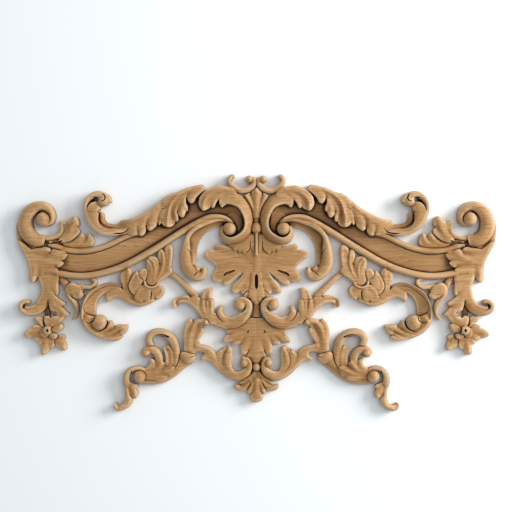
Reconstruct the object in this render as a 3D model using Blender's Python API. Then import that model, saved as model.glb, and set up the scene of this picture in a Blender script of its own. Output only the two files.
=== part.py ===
"""A carved oak pediment for the top of a cabinet, bed or mirror, as one solid.

The carving is one board of oak, sawn through between its leaves and scrolls, with a flat back.
It is symmetric, so the right half is carved first and then mirrored to the left.

Frame: X runs along the width, Z is up, and the face looks along -Y. The back lies in the plane y = 0.
The origin is on the back, at the middle of the width.

Every leaf, scroll, rail and stem is one closed tapering strip (`finger` or `band`), and every eye is a
`dome`. They run a little behind the back, are joined into one solid, and are then cut off flat.
"""

import math

import bmesh
import bpy
import numpy as np

# Driving sizes, in metres
WIDTH = 0.800  # overall width, from one end scroll to the other
RELIEF = 0.036  # from the back to the highest eye
WOOD_COLOUR = (0.436, 0.266, 0.136, 1.0)  # mid oak, linear
WOOD_ROUGHNESS = 0.55

# The carving is drawn on a sheet 800 units wide, and its heights are counted in 36 levels, so that at
# these driving sizes a unit and a level are both a millimetre.
SHEET_WIDTH = 800
SHEET_LEVELS = 36
UNIT = WIDTH / SHEET_WIDTH
LEVEL = RELIEF / SHEET_LEVELS

BEHIND = 3  # how far each piece runs behind the back before it is cut off, in levels
EDGE_SHARE = 0.55  # height of a piece's edge where the call gives none, as a share of its crest
STATION_PITCH = 17.0  # longest step between two sections of a strip, in units
STATION_TURN = 0.62  # most that a strip bends between two sections, in radians
SAMPLES = 240  # points on a curve before its sections are picked
END_ANGLES = (24, 52)  # where the sections of a round end stand on its quarter circle, in degrees
END_REACH = 0.9  # length of a round end, as a share of its half-width
MOST_END = 0.4  # and at most this share of the strip's whole length
END_CREST = 0.35  # how much of the crest's rise over the edge is left at the very end
DOME_SIDES = 9
DOME_ANGLES = (0, 35, 65)  # where the rings of an eye stand on its quarter circle, in degrees
MOST_TRIANGLES = 9400
CLOSE = 0.000001  # a point this near the middle line lies on it, in metres
MERGE_WITHIN = 0.00001  # the two halves join where their points are this close, in metres
SHARP_ANGLE = 35  # edges that fold by more than this are drawn sharp, in degrees

# Cross-sections from one edge of a strip (-1) to the other (1): how much of the way from the edge's
# height to the crest's height each point stands.
ROUND = ((-1.0, 0.0), (-0.72, 0.68), (0.0, 1.0), (0.72, 0.68), (1.0, 0.0))
KEEL = ((-1.0, 0.0), (-0.5, 0.5), (0.0, 1.0), (0.5, 0.5), (1.0, 0.0))
HOLLOW = ((-1.0, 0.35), (-0.78, 1.0), (0.0, 0.3), (0.78, 1.0), (1.0, 0.35))
ROLL = ((-1.0, 0.0), (-0.7, 0.62), (-0.1, 1.0), (0.6, 0.9), (1.0, 0.65))
COVE = ((-1.0, 0.0), (-0.3, 0.08), (0.35, 0.4), (1.0, 1.0))
RIM = ((-1.0, 0.25), (-0.74, 1.0), (-0.45, 0.55), (0.3, 0.4), (1.0, 0.3))


def curve_through(points, samples=SAMPLES):
    """Points along a smooth curve that passes through each given point."""
    given = np.array(points, float)
    before = 2 * given[0] - given[1]
    after = 2 * given[-1] - given[-2]
    knots = np.vstack([before, given, after])
    times = np.concatenate([[0], np.cumsum(np.linalg.norm(np.diff(knots, axis=0), axis=1) ** 0.5)])
    spots = np.linspace(times[1], times[-2], samples)
    legs = np.clip(np.searchsorted(times, spots, side="right") - 1, 1, len(knots) - 3)

    def between(low, high, start, end):
        share = (spots - start) / (end - start)
        return low * (1 - share[:, None]) + high * share[:, None]

    t0, t1, t2, t3 = (times[legs + k] for k in (-1, 0, 1, 2))
    p0, p1, p2, p3 = (knots[legs + k] for k in (-1, 0, 1, 2))
    a1 = between(p0, p1, t0, t1)
    a2 = between(p1, p2, t1, t2)
    a3 = between(p2, p3, t2, t3)
    b1 = between(a1, a2, t0, t2)
    b2 = between(a2, a3, t1, t3)
    return between(b1, b2, t1, t2)


def along(values, shares):
    """A size that changes smoothly along a strip, at the given shares of its length."""
    if np.isscalar(values):
        return np.full(len(shares), float(values))
    return np.interp(shares, np.linspace(0, 1, len(values)), values)


def picked_shares(line):
    """Shares of a line's length at which its sections stand, closer together where it bends."""
    steps = np.diff(line, axis=0)
    lengths = np.linalg.norm(steps, axis=1)
    headings = np.unwrap(np.arctan2(steps[:, 1], steps[:, 0]))
    turns = np.abs(np.diff(headings, prepend=headings[0]))
    cost = np.concatenate([[0], np.cumsum(lengths / STATION_PITCH + turns / STATION_TURN)])
    count = max(2, math.ceil(cost[-1]))
    distance = np.concatenate([[0], np.cumsum(lengths)])
    return np.interp(np.linspace(0, cost[-1], count + 1), cost, distance) / distance[-1]


def new_piece(name, bm):
    """Turns the faces of a closed bmesh outward and adds it to the scene as an object."""
    bmesh.ops.recalc_face_normals(bm, faces=bm.faces)
    mesh = bpy.data.meshes.new(name)
    bm.to_mesh(mesh)
    bm.free()
    piece = bpy.data.objects.new(name, mesh)
    bpy.context.scene.collection.objects.link(piece)
    return piece


def loft(name, rings):
    """A closed solid through rings of points (x, height, z), in sheet units and levels."""
    bm = bmesh.new()
    loops = []
    for ring in rings:
        loops.append([bm.verts.new((x * UNIT, -h * LEVEL, z * UNIT)) for x, h, z in ring])
    around = len(loops[0])
    for near, far in zip(loops, loops[1:]):
        for k in range(around):
            bm.faces.new((near[k], near[(k + 1) % around], far[(k + 1) % around], far[k]))
    bm.faces.new(loops[0])
    bm.faces.new(loops[-1])
    return new_piece(name, bm)


def strip(name, left, right, edges, crests, section):
    """A strip between two edge lines: its top follows the section, and its bottom is flat."""
    rings = []
    for start, end, edge, crest in zip(left, right, edges, crests):
        ring = [(start[0], -BEHIND, start[1])]
        for across, share in section:
            x, z = start + (end - start) * (across + 1) / 2
            ring.append((x, edge + (crest - edge) * share, z))
        ring.append((end[0], -BEHIND, end[1]))
        rings.append(ring)
    return loft(name, rings)


def finger(name, path, widths, crests, section=ROUND, edges=None, root=0, tip=1):
    """A strip along a path, with half-widths and heights that change along it.

    An end is round where its `root` or `tip` is 1, and cut square where it is 0.
    """
    line = curve_through(path)
    lengths = np.linalg.norm(np.diff(line, axis=0), axis=1)
    distance = np.concatenate([[0], np.cumsum(lengths)])
    whole = distance[-1]
    end_widths = along(widths, np.array([0.0, 1.0]))
    reach = [min(width * END_REACH, whole * MOST_END) for width in end_widths]
    angles = np.radians(END_ANGLES)
    shares = picked_shares(line)
    low = reach[0] / whole if root else 0.0
    high = 1 - reach[1] / whole if tip else 1.0
    shares = low + shares * (high - low)
    rounding = np.ones(len(shares))
    if root:
        shares = np.concatenate([low * (1 - np.cos(angles)), shares])
        rounding = np.concatenate([np.sin(angles), rounding])
    if tip:
        shares = np.concatenate([shares, 1 - (1 - high) * (1 - np.cos(angles[::-1]))])
        rounding = np.concatenate([rounding, np.sin(angles[::-1])])
    shares[0] = 0.0
    shares[-1] = 1.0
    spots = np.column_stack([np.interp(shares * whole, distance, line[:, k]) for k in (0, 1)])
    slopes = np.gradient(line, axis=0)
    slopes /= np.linalg.norm(slopes, axis=1)[:, None]
    normals = np.column_stack([np.interp(shares * whole, distance, slopes[:, k]) for k in (0, 1)])
    normals = np.column_stack([-normals[:, 1], normals[:, 0]])
    half = along(widths, shares) * rounding
    crest = along(crests, shares)
    edge = along(edges, shares) if edges is not None else crest * EDGE_SHARE
    crest = edge + (crest - edge) * (END_CREST + (1 - END_CREST) * rounding)
    left = spots + normals * half[:, None]
    right = spots - normals * half[:, None]
    return strip(name, left, right, edge, crest, section)


def band(name, pairs, crests, section=ROUND, edges=None):
    """A strip between two edges, given as pairs of points that face each other across it."""
    both = curve_through([(*first, *second) for first, second in pairs])
    shares = picked_shares((both[:, :2] + both[:, 2:]) / 2)
    outer = picked_shares(both[:, :2])
    if len(outer) > len(shares):
        shares = outer
    spots = np.linspace(0, 1, len(both))
    both = np.column_stack([np.interp(shares, spots, both[:, k]) for k in range(4)])
    crest = along(crests, shares)
    edge = along(edges, shares) if edges is not None else crest * EDGE_SHARE
    return strip(name, both[:, :2], both[:, 2:], edge, crest, section)


def dome(name, x, z, radius, top, base):
    """A round eye: a short drum with a rounded top."""
    bm = bmesh.new()
    rings = []
    levels = [(-BEHIND, 1.0)]
    for angle in np.radians(DOME_ANGLES):
        levels.append((base + (top - base) * math.sin(angle), math.cos(angle)))
    for height, share in levels:
        ring = []
        for k in range(DOME_SIDES):
            turn = 2 * math.pi * k / DOME_SIDES
            spot_x = x + radius * share * math.cos(turn)
            spot_z = z + radius * share * math.sin(turn)
            ring.append((spot_x, height, spot_z))
        rings.append(ring)
    loops = [[bm.verts.new((px * UNIT, -h * LEVEL, pz * UNIT)) for px, h, pz in ring] for ring in rings]
    for near, far in zip(loops, loops[1:]):
        for k in range(DOME_SIDES):
            after = (k + 1) % DOME_SIDES
            bm.faces.new((near[k], near[after], far[after], far[k]))
    bm.faces.new(loops[0])
    peak = bm.verts.new((x * UNIT, -top * LEVEL, z * UNIT))
    for k in range(DOME_SIDES):
        bm.faces.new((loops[-1][k], loops[-1][(k + 1) % DOME_SIDES], peak))
    return new_piece(name, bm)


def centre_stem():
    """The reeded stem on the middle line, its ball, and the husk above it."""
    finger("stem", [(0, 20), (0, 60), (0, 102)], (10, 9.5, 8), (17, 18, 19), root=1)
    finger("reed", [(0, 62), (0, 80), (0, 101)], 2.3, 22)
    dome("stem_ball", 0, 108, 9.3, 27, 16)
    finger("husk_neck", [(0, 112), (0, 128), (0, 142), (0, 156)], (5.5, 4.2, 6.5, 9), (18, 18, 20, 22))
    finger("husk_middle", [(0, 138), (0, 158), (0, 174.5)], (5, 9.5, 7.5), (20, 25, 22), KEEL)
    finger("husk_side", [(1, 137), (9, 150), (20.5, 163)], (5, 6.5, 4.5), (18, 22, 20))


def finial_scroll():
    """The small U-shaped scroll on top of each volute."""
    path = [(11, 189), (5, 190), (4, 183), (8, 176), (16, 171.5), (25, 170), (34, 173), (41, 179)]
    path += [(44.5, 187), (41, 193.5), (36, 193)]
    finger("finial_scroll", path, (3, 4.2, 5, 5, 4.6, 4.2, 3), (20, 22, 22, 22, 23, 23, 22), root=1)
    dome("finial_ball", 11.5, 189, 6.2, 27, 14)


def main_volute():
    """The large volute at the inner end of the arm, with its eye."""
    pairs = [
        ((62, 176), (61, 146)),
        ((42, 173), (46, 147)),
        ((22, 160), (31, 141)),
        ((9, 140), (22.5, 127)),
        ((5.5, 120), (20, 115)),
        ((9, 100), (23, 104)),
        ((21, 86), (31, 97)),
        ((40, 79.5), (41, 92.5)),
        ((56, 84), (50, 95)),
        ((62.5, 99), (55.5, 102)),
        ((58, 112), (53, 108)),
    ]
    band("volute", pairs, (25, 26, 28, 30, 31, 32, 32, 32, 31, 28, 24), ROLL, 14)
    dome("volute_bed", 43, 108, 17, 14, 13)
    dome("volute_eye", 45, 106, 11, 36, 19)


def arm():
    """The long moulded arm: its lower bead, its plain hollow face and its upper bead."""
    path = [(40, 112), (47, 121.5), (57, 125.5), (78, 125), (120, 103.7), (180, 66), (230, 40.8)]
    path += [(285, 28), (332, 32)]
    finger("arm_bead", path, (5, 5.7, 6, 6.2, 6.2, 6.2), (20, 23, 23, 23), edges=13, root=1, tip=0)
    pairs = [
        ((28, 108), (24, 128)),
        ((47, 124), (38, 146)),
        ((66, 130), (62, 164)),
        ((95, 124), (100, 168)),
        ((130, 104), (135, 156)),
        ((165, 82), (170, 134)),
        ((200, 60), (208, 108)),
        ((240, 42), (240, 81)),
        ((285, 32), (285, 72)),
        ((332, 36), (332, 76)),
    ]
    band("arm_face", pairs, (17, 18, 18, 18, 18, 17), COVE, 11)
    path = [(188, 101), (215, 94), (240, 81.5), (265, 72.5), (290, 69.2), (315, 70.8), (345, 82)]
    finger("arm_top_bead", path, (4, 5.2, 5.4, 5.4, 5.4, 5.4), 20, edges=12, root=1, tip=0)


def arm_leaves():
    """The rail along the top of the arm, and the leaf tips that hang from it over the plain face."""
    pairs = [
        ((44, 175), (46, 160)),
        ((66, 177.5), (66, 162)),
        ((90, 178), (86, 163)),
        ((112, 175), (104, 160)),
        ((132, 167), (124, 150)),
        ((150, 160), (142, 144)),
        ((168, 144.5), (158, 128)),
        ((190, 131), (182, 114)),
        ((210, 122.5), (204, 104)),
        ((228, 120), (222, 104)),
    ]
    band("top_rail", pairs, (25, 27, 27, 27, 28, 27, 26, 25, 24), ROLL, 17)
    tips = [
        ([(66, 172), (67, 158), (70.5, 142)], (7, 6.5, 5.5)),
        ([(80, 173), (85, 158), (88, 136.5)], (9, 9.5, 7.5)),
        ([(104, 172), (106, 160), (107.5, 148)], (7, 6, 4)),
        ([(121, 166), (121, 150), (116, 134.5)], (7, 6.5, 4.5)),
        ([(128, 164), (128, 146), (124, 126)], (7, 7, 4.5)),
        ([(134, 160), (137, 140), (133, 117)], (7, 8, 5)),
        ([(138, 158), (147, 138), (146, 109)], (9, 12, 10)),
        ([(146, 148), (156, 136), (159, 121)], (6, 6, 4)),
        ([(162, 135), (164, 125), (162, 112.5)], (5, 4.5, 3)),
        ([(170, 135), (174, 120), (175, 103)], (8, 9, 8)),
        ([(190, 125), (191, 110), (192, 94.5)], (9, 8.5, 6)),
        ([(206, 118), (205, 108), (205, 95)], (10, 10, 8)),
    ]
    for count, (path, widths) in enumerate(tips):
        finger(f"arm_leaf_{count}", path, widths, (25, 27, 23), edges=(20, 21, 17))
    path = [(116, 172), (129, 162), (138, 150), (143, 132)]
    finger("arm_leaf_rib", path, (4, 4.5, 4, 3), (28, 31, 31, 28))


def free_scroll():
    """The scroll that leaves the arm and curls up above it."""
    path = [(198, 112), (222, 107), (242, 107.5), (260, 113.5), (272, 126), (275.5, 141), (271.5, 153)]
    path += [(262, 159), (252, 157), (247.5, 151), (250, 146)]
    widths = (10, 12.5, 12.5, 12, 11.5, 10.5, 10.5, 10, 9, 7.5, 4)
    finger("free_scroll", path, widths, (20, 22, 23, 25, 27, 28, 28, 28, 28, 27, 26), HOLLOW)
    finger("free_leaf", [(236, 112), (252, 122), (258, 134), (252, 141)], (6, 8, 7, 4), (20, 24, 26, 24))
    dome("free_eye", 257, 153, 7, 33, 20)


def end_sprig():
    """The three-lobed leaf that fills the corner beside the end volute."""
    finger("sprig_base", [(280, 82), (300, 84), (322, 89), (348, 96)], (6, 8, 8, 8), 16, root=1)
    tips = [
        ([(286, 80), (280, 87), (278, 99)], (9, 9, 6.5)),
        ([(292, 80), (290, 90), (289, 100)], (7, 6, 5)),
        ([(304, 82), (300, 102), (300.5, 127)], (9, 8, 5.5)),
        ([(312, 86), (309, 104), (309, 121)], (8, 7, 4.5)),
        ([(326, 88), (320, 104), (322, 120.5)], (9, 8, 5)),
    ]
    for count, (path, widths) in enumerate(tips):
        finger(f"sprig_{count}", path, widths, (17, 20, 17))


def end_volute():
    """The volute that stands on each end, and the upright that carries it."""
    pairs = [
        ((377, 34), (345, 34)),
        ((379, 47), (345, 50)),
        ((385, 61), (346, 66)),
        ((393, 77), (352, 84)),
        ((399, 98), (386, 104)),
        ((399, 112), (389, 115)),
        ((392.5, 132), (384, 128)),
    ]
    band("end_upright", pairs, (17, 18, 18, 17, 15, 14, 14), KEEL, 12)
    pairs = [
        ((353, 78), (350, 95)),
        ((368, 75.5), (361, 97)),
        ((385, 85), (369.5, 105)),
        ((395, 101), (372, 117)),
        ((396, 121), (369.5, 126)),
        ((387, 140), (362, 134)),
        ((370, 151), (356, 136.5)),
        ((352, 151.5), (350, 134)),
        ((338.5, 142), (345, 128)),
        ((333.5, 127), (344, 121)),
        ((337.5, 115), (347, 115)),
        ((346, 110), (352, 114)),
    ]
    band("end_volute", pairs, (22, 25, 27, 28, 29, 29, 29, 28, 27, 26, 25, 24), ROUND, 15)
    dome("end_eye", 354, 122, 12, 35, 19)


def end_leaf():
    """The leaf that lies over the outer end of the arm."""
    finger("end_leaf_base", [(356, 30), (358, 50), (358, 72)], (12, 16, 14), 18)
    tips = [
        ([(370, 69), (354, 70), (340, 71.5)], (6, 5, 4)),
        ([(362, 62), (345, 66), (329, 68.5)], (7, 6.5, 4)),
        ([(362, 56), (340, 60), (315, 61)], (8, 8, 6.5)),
        ([(362, 46), (342, 49), (321, 48)], (8, 7, 4.5)),
        ([(358, 36), (342, 36), (327, 32)], (9, 9, 8)),
    ]
    for count, (path, widths) in enumerate(tips):
        finger(f"end_leaf_{count}", path, widths, (21, 25, 24), edges=(15, 18, 17))
    finger("end_leaf_low", [(362, 38), (370, 29), (372, 16)], (8, 7.5, 5), (18, 20, 19))


def drop():
    """The stem that hangs from the end leaf and parts into two leaves, one of them curled."""
    finger("drop_stem", [(345, 34), (343, 12), (343, -6)], (15, 14.5, 14), (20, 20, 20), HOLLOW)
    tips = [
        ([(341, 0), (331, -10), (318, -18)], (9, 8, 3)),
        ([(342, -6), (331, -25), (311, -36.5)], (10, 10, 3.5)),
        ([(342, -8), (338, -22), (335, -34)], (7, 6, 4.5)),
    ]
    for count, (path, widths) in enumerate(tips):
        finger(f"drop_leaf_{count}", path, widths, (19, 19, 15))
    path = [(350, 2), (353, -13), (360, -24), (371, -30.5), (381, -33), (389.5, -28), (390.5, -20)]
    path += [(384, -14.5), (376, -16)]
    widths = (9, 9.5, 9.5, 9.5, 7.5, 4.5, 3.8, 3.6, 3)
    finger("drop_curl", path, widths, (19, 19, 20, 22, 24, 26, 27, 26, 24))
    finger("drop_curl_lip", [(362, -22), (374, -26), (384, -25)], (5, 4.5, 2.5), (20, 23, 24))


def hanging_flower():
    """The flower and its three leaves that hang below the drop."""
    finger("flower_top", [(345, -61), (337, -50), (334.5, -39)], (6, 14, 15), (20, 23, 19))
    finger("flower_link", [(348, -6), (348.5, -26), (347, -46)], (4, 5.5, 5), 9, tip=0)
    finger("flower_right", [(350, -60), (358, -50), (362, -38)], (5, 8, 7), (18, 20, 17))
    finger("flower_left", [(341, -61), (331, -59), (320, -57)], (5, 8.5, 6.5), (20, 22, 18))
    finger("flower_low", [(344, -65), (338, -71), (333.5, -77)], (5, 6.5, 4.5), (18, 20, 17))
    finger("flower_lowest", [(348, -63), (352, -69), (356, -76)], (6, 7.5, 6), (18, 21, 18))
    dome("flower_tube", 346, -62.5, 6.6, 29, 24)
    leaves = [
        ([(352, -65), (368, -66.5), (386.5, -69)], (8, 9, 6.5)),
        ([(354, -63), (363, -60), (369, -53.5)], (7, 8, 4.5)),
        ([(354, -67), (363, -72), (368, -80)], (7, 8, 5)),
        ([(349, -70), (350, -86), (354, -104)], (9, 9.5, 5)),
        ([(352, -72), (357, -79), (362, -85)], (7, 7, 4)),
        ([(345, -72), (341, -84), (340, -93.5)], (6, 6, 4)),
        ([(337, -72), (328, -80), (323, -96)], (7, 9.5, 8.5)),
    ]
    for count, (path, widths) in enumerate(leaves):
        finger(f"flower_leaf_{count}", path, widths, (15, 18, 15))


def inner_scroll():
    """The scroll that hangs from the arm towards the palmette."""
    pairs = [
        ((56, 124), (57, 110)),
        ((72, 122), (70, 106.5)),
        ((90, 115), (84, 99.5)),
        ((106, 108), (93, 88)),
        ((118, 90), (98.5, 75)),
        ((125, 72), (99.5, 63)),
        ((127, 57), (101, 55)),
        ((125, 42), (102, 46)),
        ((115, 26), (101, 38)),
        ((101, 18.5), (97, 33)),
        ((88, 22), (92, 34)),
        ((82.5, 33), (90, 38)),
        ((84, 43), (90, 42)),
    ]
    band("inner_scroll", pairs, (17, 18, 20, 22, 23, 24, 25, 26, 26, 26, 25, 24, 23), KEEL)
    finger("inner_leaf", [(108, 100), (105, 82), (101, 62)], (5, 7, 5.5), (21, 22, 19))
    dome("inner_eye", 99, 38, 7, 22, 14)


def palmette():
    """The spreading leaf at the centre, below the volutes."""
    finger("palm_heart", [(0, 72), (0, 40), (0, -20)], (17, 20, 9), (17, 17, 17), edges=(9, 10, 9))
    tips = [
        ([(12, 86), (13, 76), (16, 65.5)], (5, 6, 4.5)),
        ([(18, 86), (22, 77), (27, 67.5)], (7, 7, 5)),
        ([(30, 84), (34, 78), (39, 70)], (7, 7, 5)),
        ([(10, 56), (40, 68), (66.5, 78)], (11, 9.5, 5)),
        ([(8, 50), (50, 60), (86, 63.5)], (12, 12, 6.5)),
        ([(10, 46), (44, 44), (70, 38)], (11, 9.5, 5)),
        ([(14, 44), (46, 30), (74, 24)], (9, 10, 6)),
        ([(22, 42), (38, 27), (53, 14)], (6, 6.5, 4.5)),
        ([(6, 40), (24, 18), (37, 0.5)], (13, 13, 8)),
        ([(8, 34), (16, 10), (22, -3)], (9, 9, 4)),
        ([(3, 28), (9, 2), (14, -9)], (8, 8, 4)),
    ]
    for count, (path, widths) in enumerate(tips):
        finger(f"palm_leaf_{count}", path, widths, (16, 18, 15), edges=(9, 11, 9))
    finger("palm_neck", [(0, 0), (0, -24), (0, -44)], (6, 6, 11), (15, 15, 15), tip=0)


def knuckle_leaf():
    """The leaf that stands under the arm, its collar and the stem that carries it."""
    finger("knuckle_0", [(168, 10), (154, 30), (147, 50), (147, 79)], (6, 10, 9, 7), (18, 21, 20, 16))
    finger("knuckle_1", [(170, 14), (163, 34), (158, 52), (158, 71)], (5, 6.5, 6.5, 5.5), (20, 23, 21, 16))
    finger("knuckle_2", [(175, 12), (174, 32), (172.5, 60)], (7, 9.5, 9.5), (20, 23, 18), HOLLOW)
    path = [(162, 18), (167, 11.5), (175, 9.5), (182, 12.5), (185, 20)]
    finger("knuckle_collar", path, 2.6, (22, 25, 26, 26, 24), root=1)
    path = [(150, 36), (135, 26.5), (117, 10), (98, -10)]
    finger("knuckle_stem", path, (5, 4.8, 5.3, 7), (15, 16, 16, 18))


def rosette():
    """The side-seen rosette and the long sepal under it."""
    petals = [
        ([(178, 1), (167, 1), (153.5, 2)], (10, 12, 8.5)),
        ([(190, 12), (190, -2), (188, -17)], (12, 13.5, 10)),
        ([(186, 12), (199, 10), (210, 8)], (12, 14, 10)),
        ([(188, 12), (187, 27), (186.5, 41)], (6, 7.5, 5.5)),
        ([(190, 14), (198, 24), (203, 34)], (9, 10, 7)),
    ]
    for count, (path, widths) in enumerate(petals):
        finger(f"petal_{count}", path, widths, (22, 25, 21), edges=(15, 17, 15))
    path = [(164, -7), (180, -13), (198, -13), (215, -3), (232, 4), (243, -1), (248, -15)]
    finger("sepal", path, (5, 8.5, 10.5, 12, 10, 7.5, 3), (14, 15, 16, 18, 20, 20, 17))
    path = [(221, 0), (219, 15), (217.5, 28), (213.5, 42.5)]
    finger("sepal_up", path, (9, 8, 9, 5), (17, 19, 19, 15), KEEL)


def lower_scroll():
    """The large C-shaped scroll below the arm, with its eye and knob."""
    pairs = [
        ((225, 12), (224, 2)),
        ((239, 17), (240, 3)),
        ((252, 16), (252, -1)),
        ((266, 9.5), (259, -7)),
        ((280, -1), (265, -17)),
        ((288, -17), (267, -29)),
        ((291, -36), (267, -38)),
        ((288, -52), (270, -47)),
        ((277, -66), (265, -58)),
        ((260, -75), (254, -60)),
        ((242, -79.5), (240, -57)),
        ((228, -79), (228, -54.5)),
        ((219, -73), (218, -53.5)),
        ((213.5, -61), (213.5, -54)),
    ]
    band("lower_scroll", pairs, (20, 22, 23, 24, 25, 26, 27, 27, 26, 24, 22, 20, 18, 16), RIM)
    dome("lower_eye", 261, -50, 13, 33, 19)
    dome("lower_knob", 277, -42, 7, 31, 22)
    finger("lower_tip", [(254, -64), (247, -57), (242, -46.5)], (7, 5.5, 3), (19, 20, 17))


def bell_bud():
    """The small bud between the lower scroll and the drop, with its curl, tail and bract."""
    path = [(298, 9), (286, 9.5), (276, 9), (269, 14), (268.5, 20), (275, 22.5)]
    finger("bud_curl", path, (6, 4.4, 3.4, 3.4, 3.4, 2.8), (20, 20, 20, 19, 18, 16))
    finger("bud_bulb", [(287, 0), (301, 3), (318, 3)], (9, 14, 10), (19, 24, 20), root=1)
    path = [(314, 6), (311, -8), (302, -17), (297.5, -28), (299.5, -38), (306, -45)]
    finger("bud_tail", path, (6, 5, 4.5, 3.6, 3, 1.8), (20, 20, 19, 18, 16, 14))
    finger("bud_bract", [(326, 24), (318, 16), (318, 5)], (5, 5.5, 2), (16, 17, 13))
    finger("bud_link", [(308, 12), (320, 18), (336, 20)], (4, 4, 5), (13, 13, 14))


def middle_scroll():
    """The scroll beside the lower tip of the palmette."""
    pairs = [
        ((36, -11), (31, -18)),
        ((22, -7), (25, -16)),
        ((9.5, -14), (19, -20)),
        ((7, -26), (19, -28)),
        ((12, -40), (25, -33)),
        ((24, -53.5), (33, -37)),
        ((38, -60), (40, -40.5)),
        ((52, -61), (49, -39)),
        ((66, -57), (58, -38)),
        ((80, -49), (72, -32)),
    ]
    band("middle_scroll", pairs, (22, 23, 24, 24, 24, 23, 22, 21, 21, 21), ROLL)
    dome("middle_eye", 28, -20, 9.5, 30, 18)
    finger("middle_tip", [(46, -50), (57, -42), (61, -32), (57, -21)], (7, 7, 5, 3), (20, 22, 22, 18))


def fleuron():
    """The bud that the middle scroll ends in, with its leaf and its curled arm."""
    finger("fleuron_body", [(80, -47), (83, -28), (83, -9)], (11, 13, 10.5), (20, 23, 21), tip=0)
    finger("fleuron_leaf", [(82, -12), (81, -2), (78, 8.5)], (10, 8, 5), (19, 21, 17), KEEL)
    path = [(92, -34), (102, -17), (117, -10.5), (129, -11.5), (134.5, -17), (133, -22.5)]
    finger("fleuron_arm", path, (8, 8.5, 6, 5.5, 4.4, 3.2), (19, 20, 20, 21, 22, 20))


def mid_leaf():
    """The leaf on the middle line below the neck."""
    tips = [
        ([(0, -38), (0, -80), (0, -119)], (12, 17, 6)),
        ([(8, -58), (17, -80), (20, -104)], (10, 11, 6.5)),
        ([(10, -54), (30, -65), (48, -64.5)], (10, 8, 4)),
        ([(10, -62), (34, -75), (56, -81)], (11, 9, 4.5)),
        ([(14, -62), (27, -75), (36, -86)], (9, 9, 5)),
    ]
    for count, (path, widths) in enumerate(tips):
        finger(f"mid_leaf_{count}", path, widths, (15, 16, 14))


def foot_scroll():
    """The scroll beside the foot, with the leaf tips that rise from it."""
    pairs = [
        ((24, -106), (21, -112)),
        ((12, -109), (16, -115)),
        ((7, -122), (15, -121)),
        ((12, -137), (20, -126)),
        ((28, -147), (30, -131)),
        ((44, -144), (39, -124)),
        ((58, -135), (48, -112)),
        ((70, -124), (60, -104)),
        ((80, -113), (74, -93)),
        ((90, -100), (86, -87)),
        ((106, -99), (104, -87)),
    ]
    band("foot_scroll", pairs, (22, 23, 24, 23, 22, 21, 20, 20, 20, 20, 19), ROLL)
    dome("foot_eye", 20, -117, 7.5, 28, 16)
    finger("foot_tip_0", [(44, -134), (47, -112), (46, -89)], (8, 8, 4.5), (20, 21, 16))
    finger("foot_tip_1", [(58, -126), (58, -110), (60, -96)], (8, 8, 5), (20, 20, 16))
    finger("foot_tip_2", [(76, -112), (86, -109), (95, -110)], (5, 4, 2.2), (17, 17, 14))


def foot_leaf():
    """The leaf that the carving ends in at the bottom of the middle line."""
    finger("foot_stem", [(0, -108), (0, -126), (0, -150)], (7, 8, 12), 15)
    dome("foot_ball", 0, -124, 6.5, 24, 17)
    finger("foot_middle", [(0, -140), (0, -160), (0, -181)], (12, 15, 10), (17, 19, 16))
    finger("foot_side", [(6, -145), (20, -156), (36, -158.5)], (9, 8.5, 5.5), (16, 18, 15))
    finger("foot_high", [(5, -141), (16, -147), (27, -151)], (8, 6, 4), (15, 16, 14))


def knot_leaf():
    """The folded leaf that joins the middle group to the outer group, with its collar."""
    path = [(80, -50), (96, -49.5), (107, -61), (108.5, -80), (111, -104)]
    finger("knot_leaf", path, (7, 7.5, 13, 11.5, 8.5), (19, 21, 24, 22, 19), RIM)
    finger("knot_leaf_inner", [(91, -52), (92, -66), (100, -86)], (5, 5, 3), (18, 19, 16))
    finger("knot_leaf_top", [(104, -60), (110, -52), (110.5, -44)], (9, 7.5, 3.5), (19, 20, 17))
    dome("knot_knob", 84, -49, 6, 27, 16)
    finger("knot_collar", [(101, -106), (113, -109), (127, -102)], (6, 9.5, 9), (21, 24, 21), root=1)


def outer_scrolls():
    """The two small scrolls of the lowest group and the leaf that carries them."""
    pairs = [
        ((127, -106), (139, -112)),
        ((127.5, -90), (140.5, -97)),
        ((134, -74), (144, -84)),
        ((148, -63), (153, -77)),
        ((165, -59.5), (164, -73)),
        ((178, -64.5), (170, -74)),
        ((184.5, -76), (173, -79)),
        ((181, -89), (170, -87)),
    ]
    band("outer_scroll", pairs, (18, 20, 22, 23, 24, 24, 23, 20), ROLL)
    finger("outer_leaflet", [(149, -122), (148, -106), (149, -88.5)], (5.5, 5, 4.5), (18, 20, 17))
    path = [(163, -120), (163.5, -104), (172, -96), (188, -96)]
    finger("outer_curl", path, (8.5, 7.5, 6, 5.5), (19, 21, 22, 21))
    dome("outer_eye", 183, -100, 8.5, 27, 17)
    pairs = [
        ((106, -117), (122, -100)),
        ((120, -127), (136, -108)),
        ((134, -139.5), (150, -117)),
        ((152, -150), (166, -114)),
        ((173, -153.5), (176, -112)),
        ((186, -153), (181, -124)),
        ((195, -152), (190, -128)),
    ]
    band("outer_leaf", pairs, (20, 20, 21, 22, 22, 22, 21), ROLL)


def tail():
    """The tail that hangs from the lowest group and curls round its ball."""
    path = [(184, -132), (198, -127.5), (210, -132), (215, -144), (210, -157), (205, -167)]
    finger("tail_ring", path, (3.6, 3.6, 4.4, 5.4, 8, 8), (21, 23, 23, 23, 22, 21), root=1)
    dome("tail_ball", 194, -139, 10.5, 31, 18)
    path = [(207, -156), (210.5, -176), (218, -189), (229, -192.5), (235.5, -185)]
    finger("tail", path, (8, 5.6, 5.6, 4.8, 3.4), (21, 20, 19, 19, 19))
    finger("tail_lobe", [(206, -154), (201, -164), (201, -175)], (7, 6, 4), (19, 19, 16))


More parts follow.
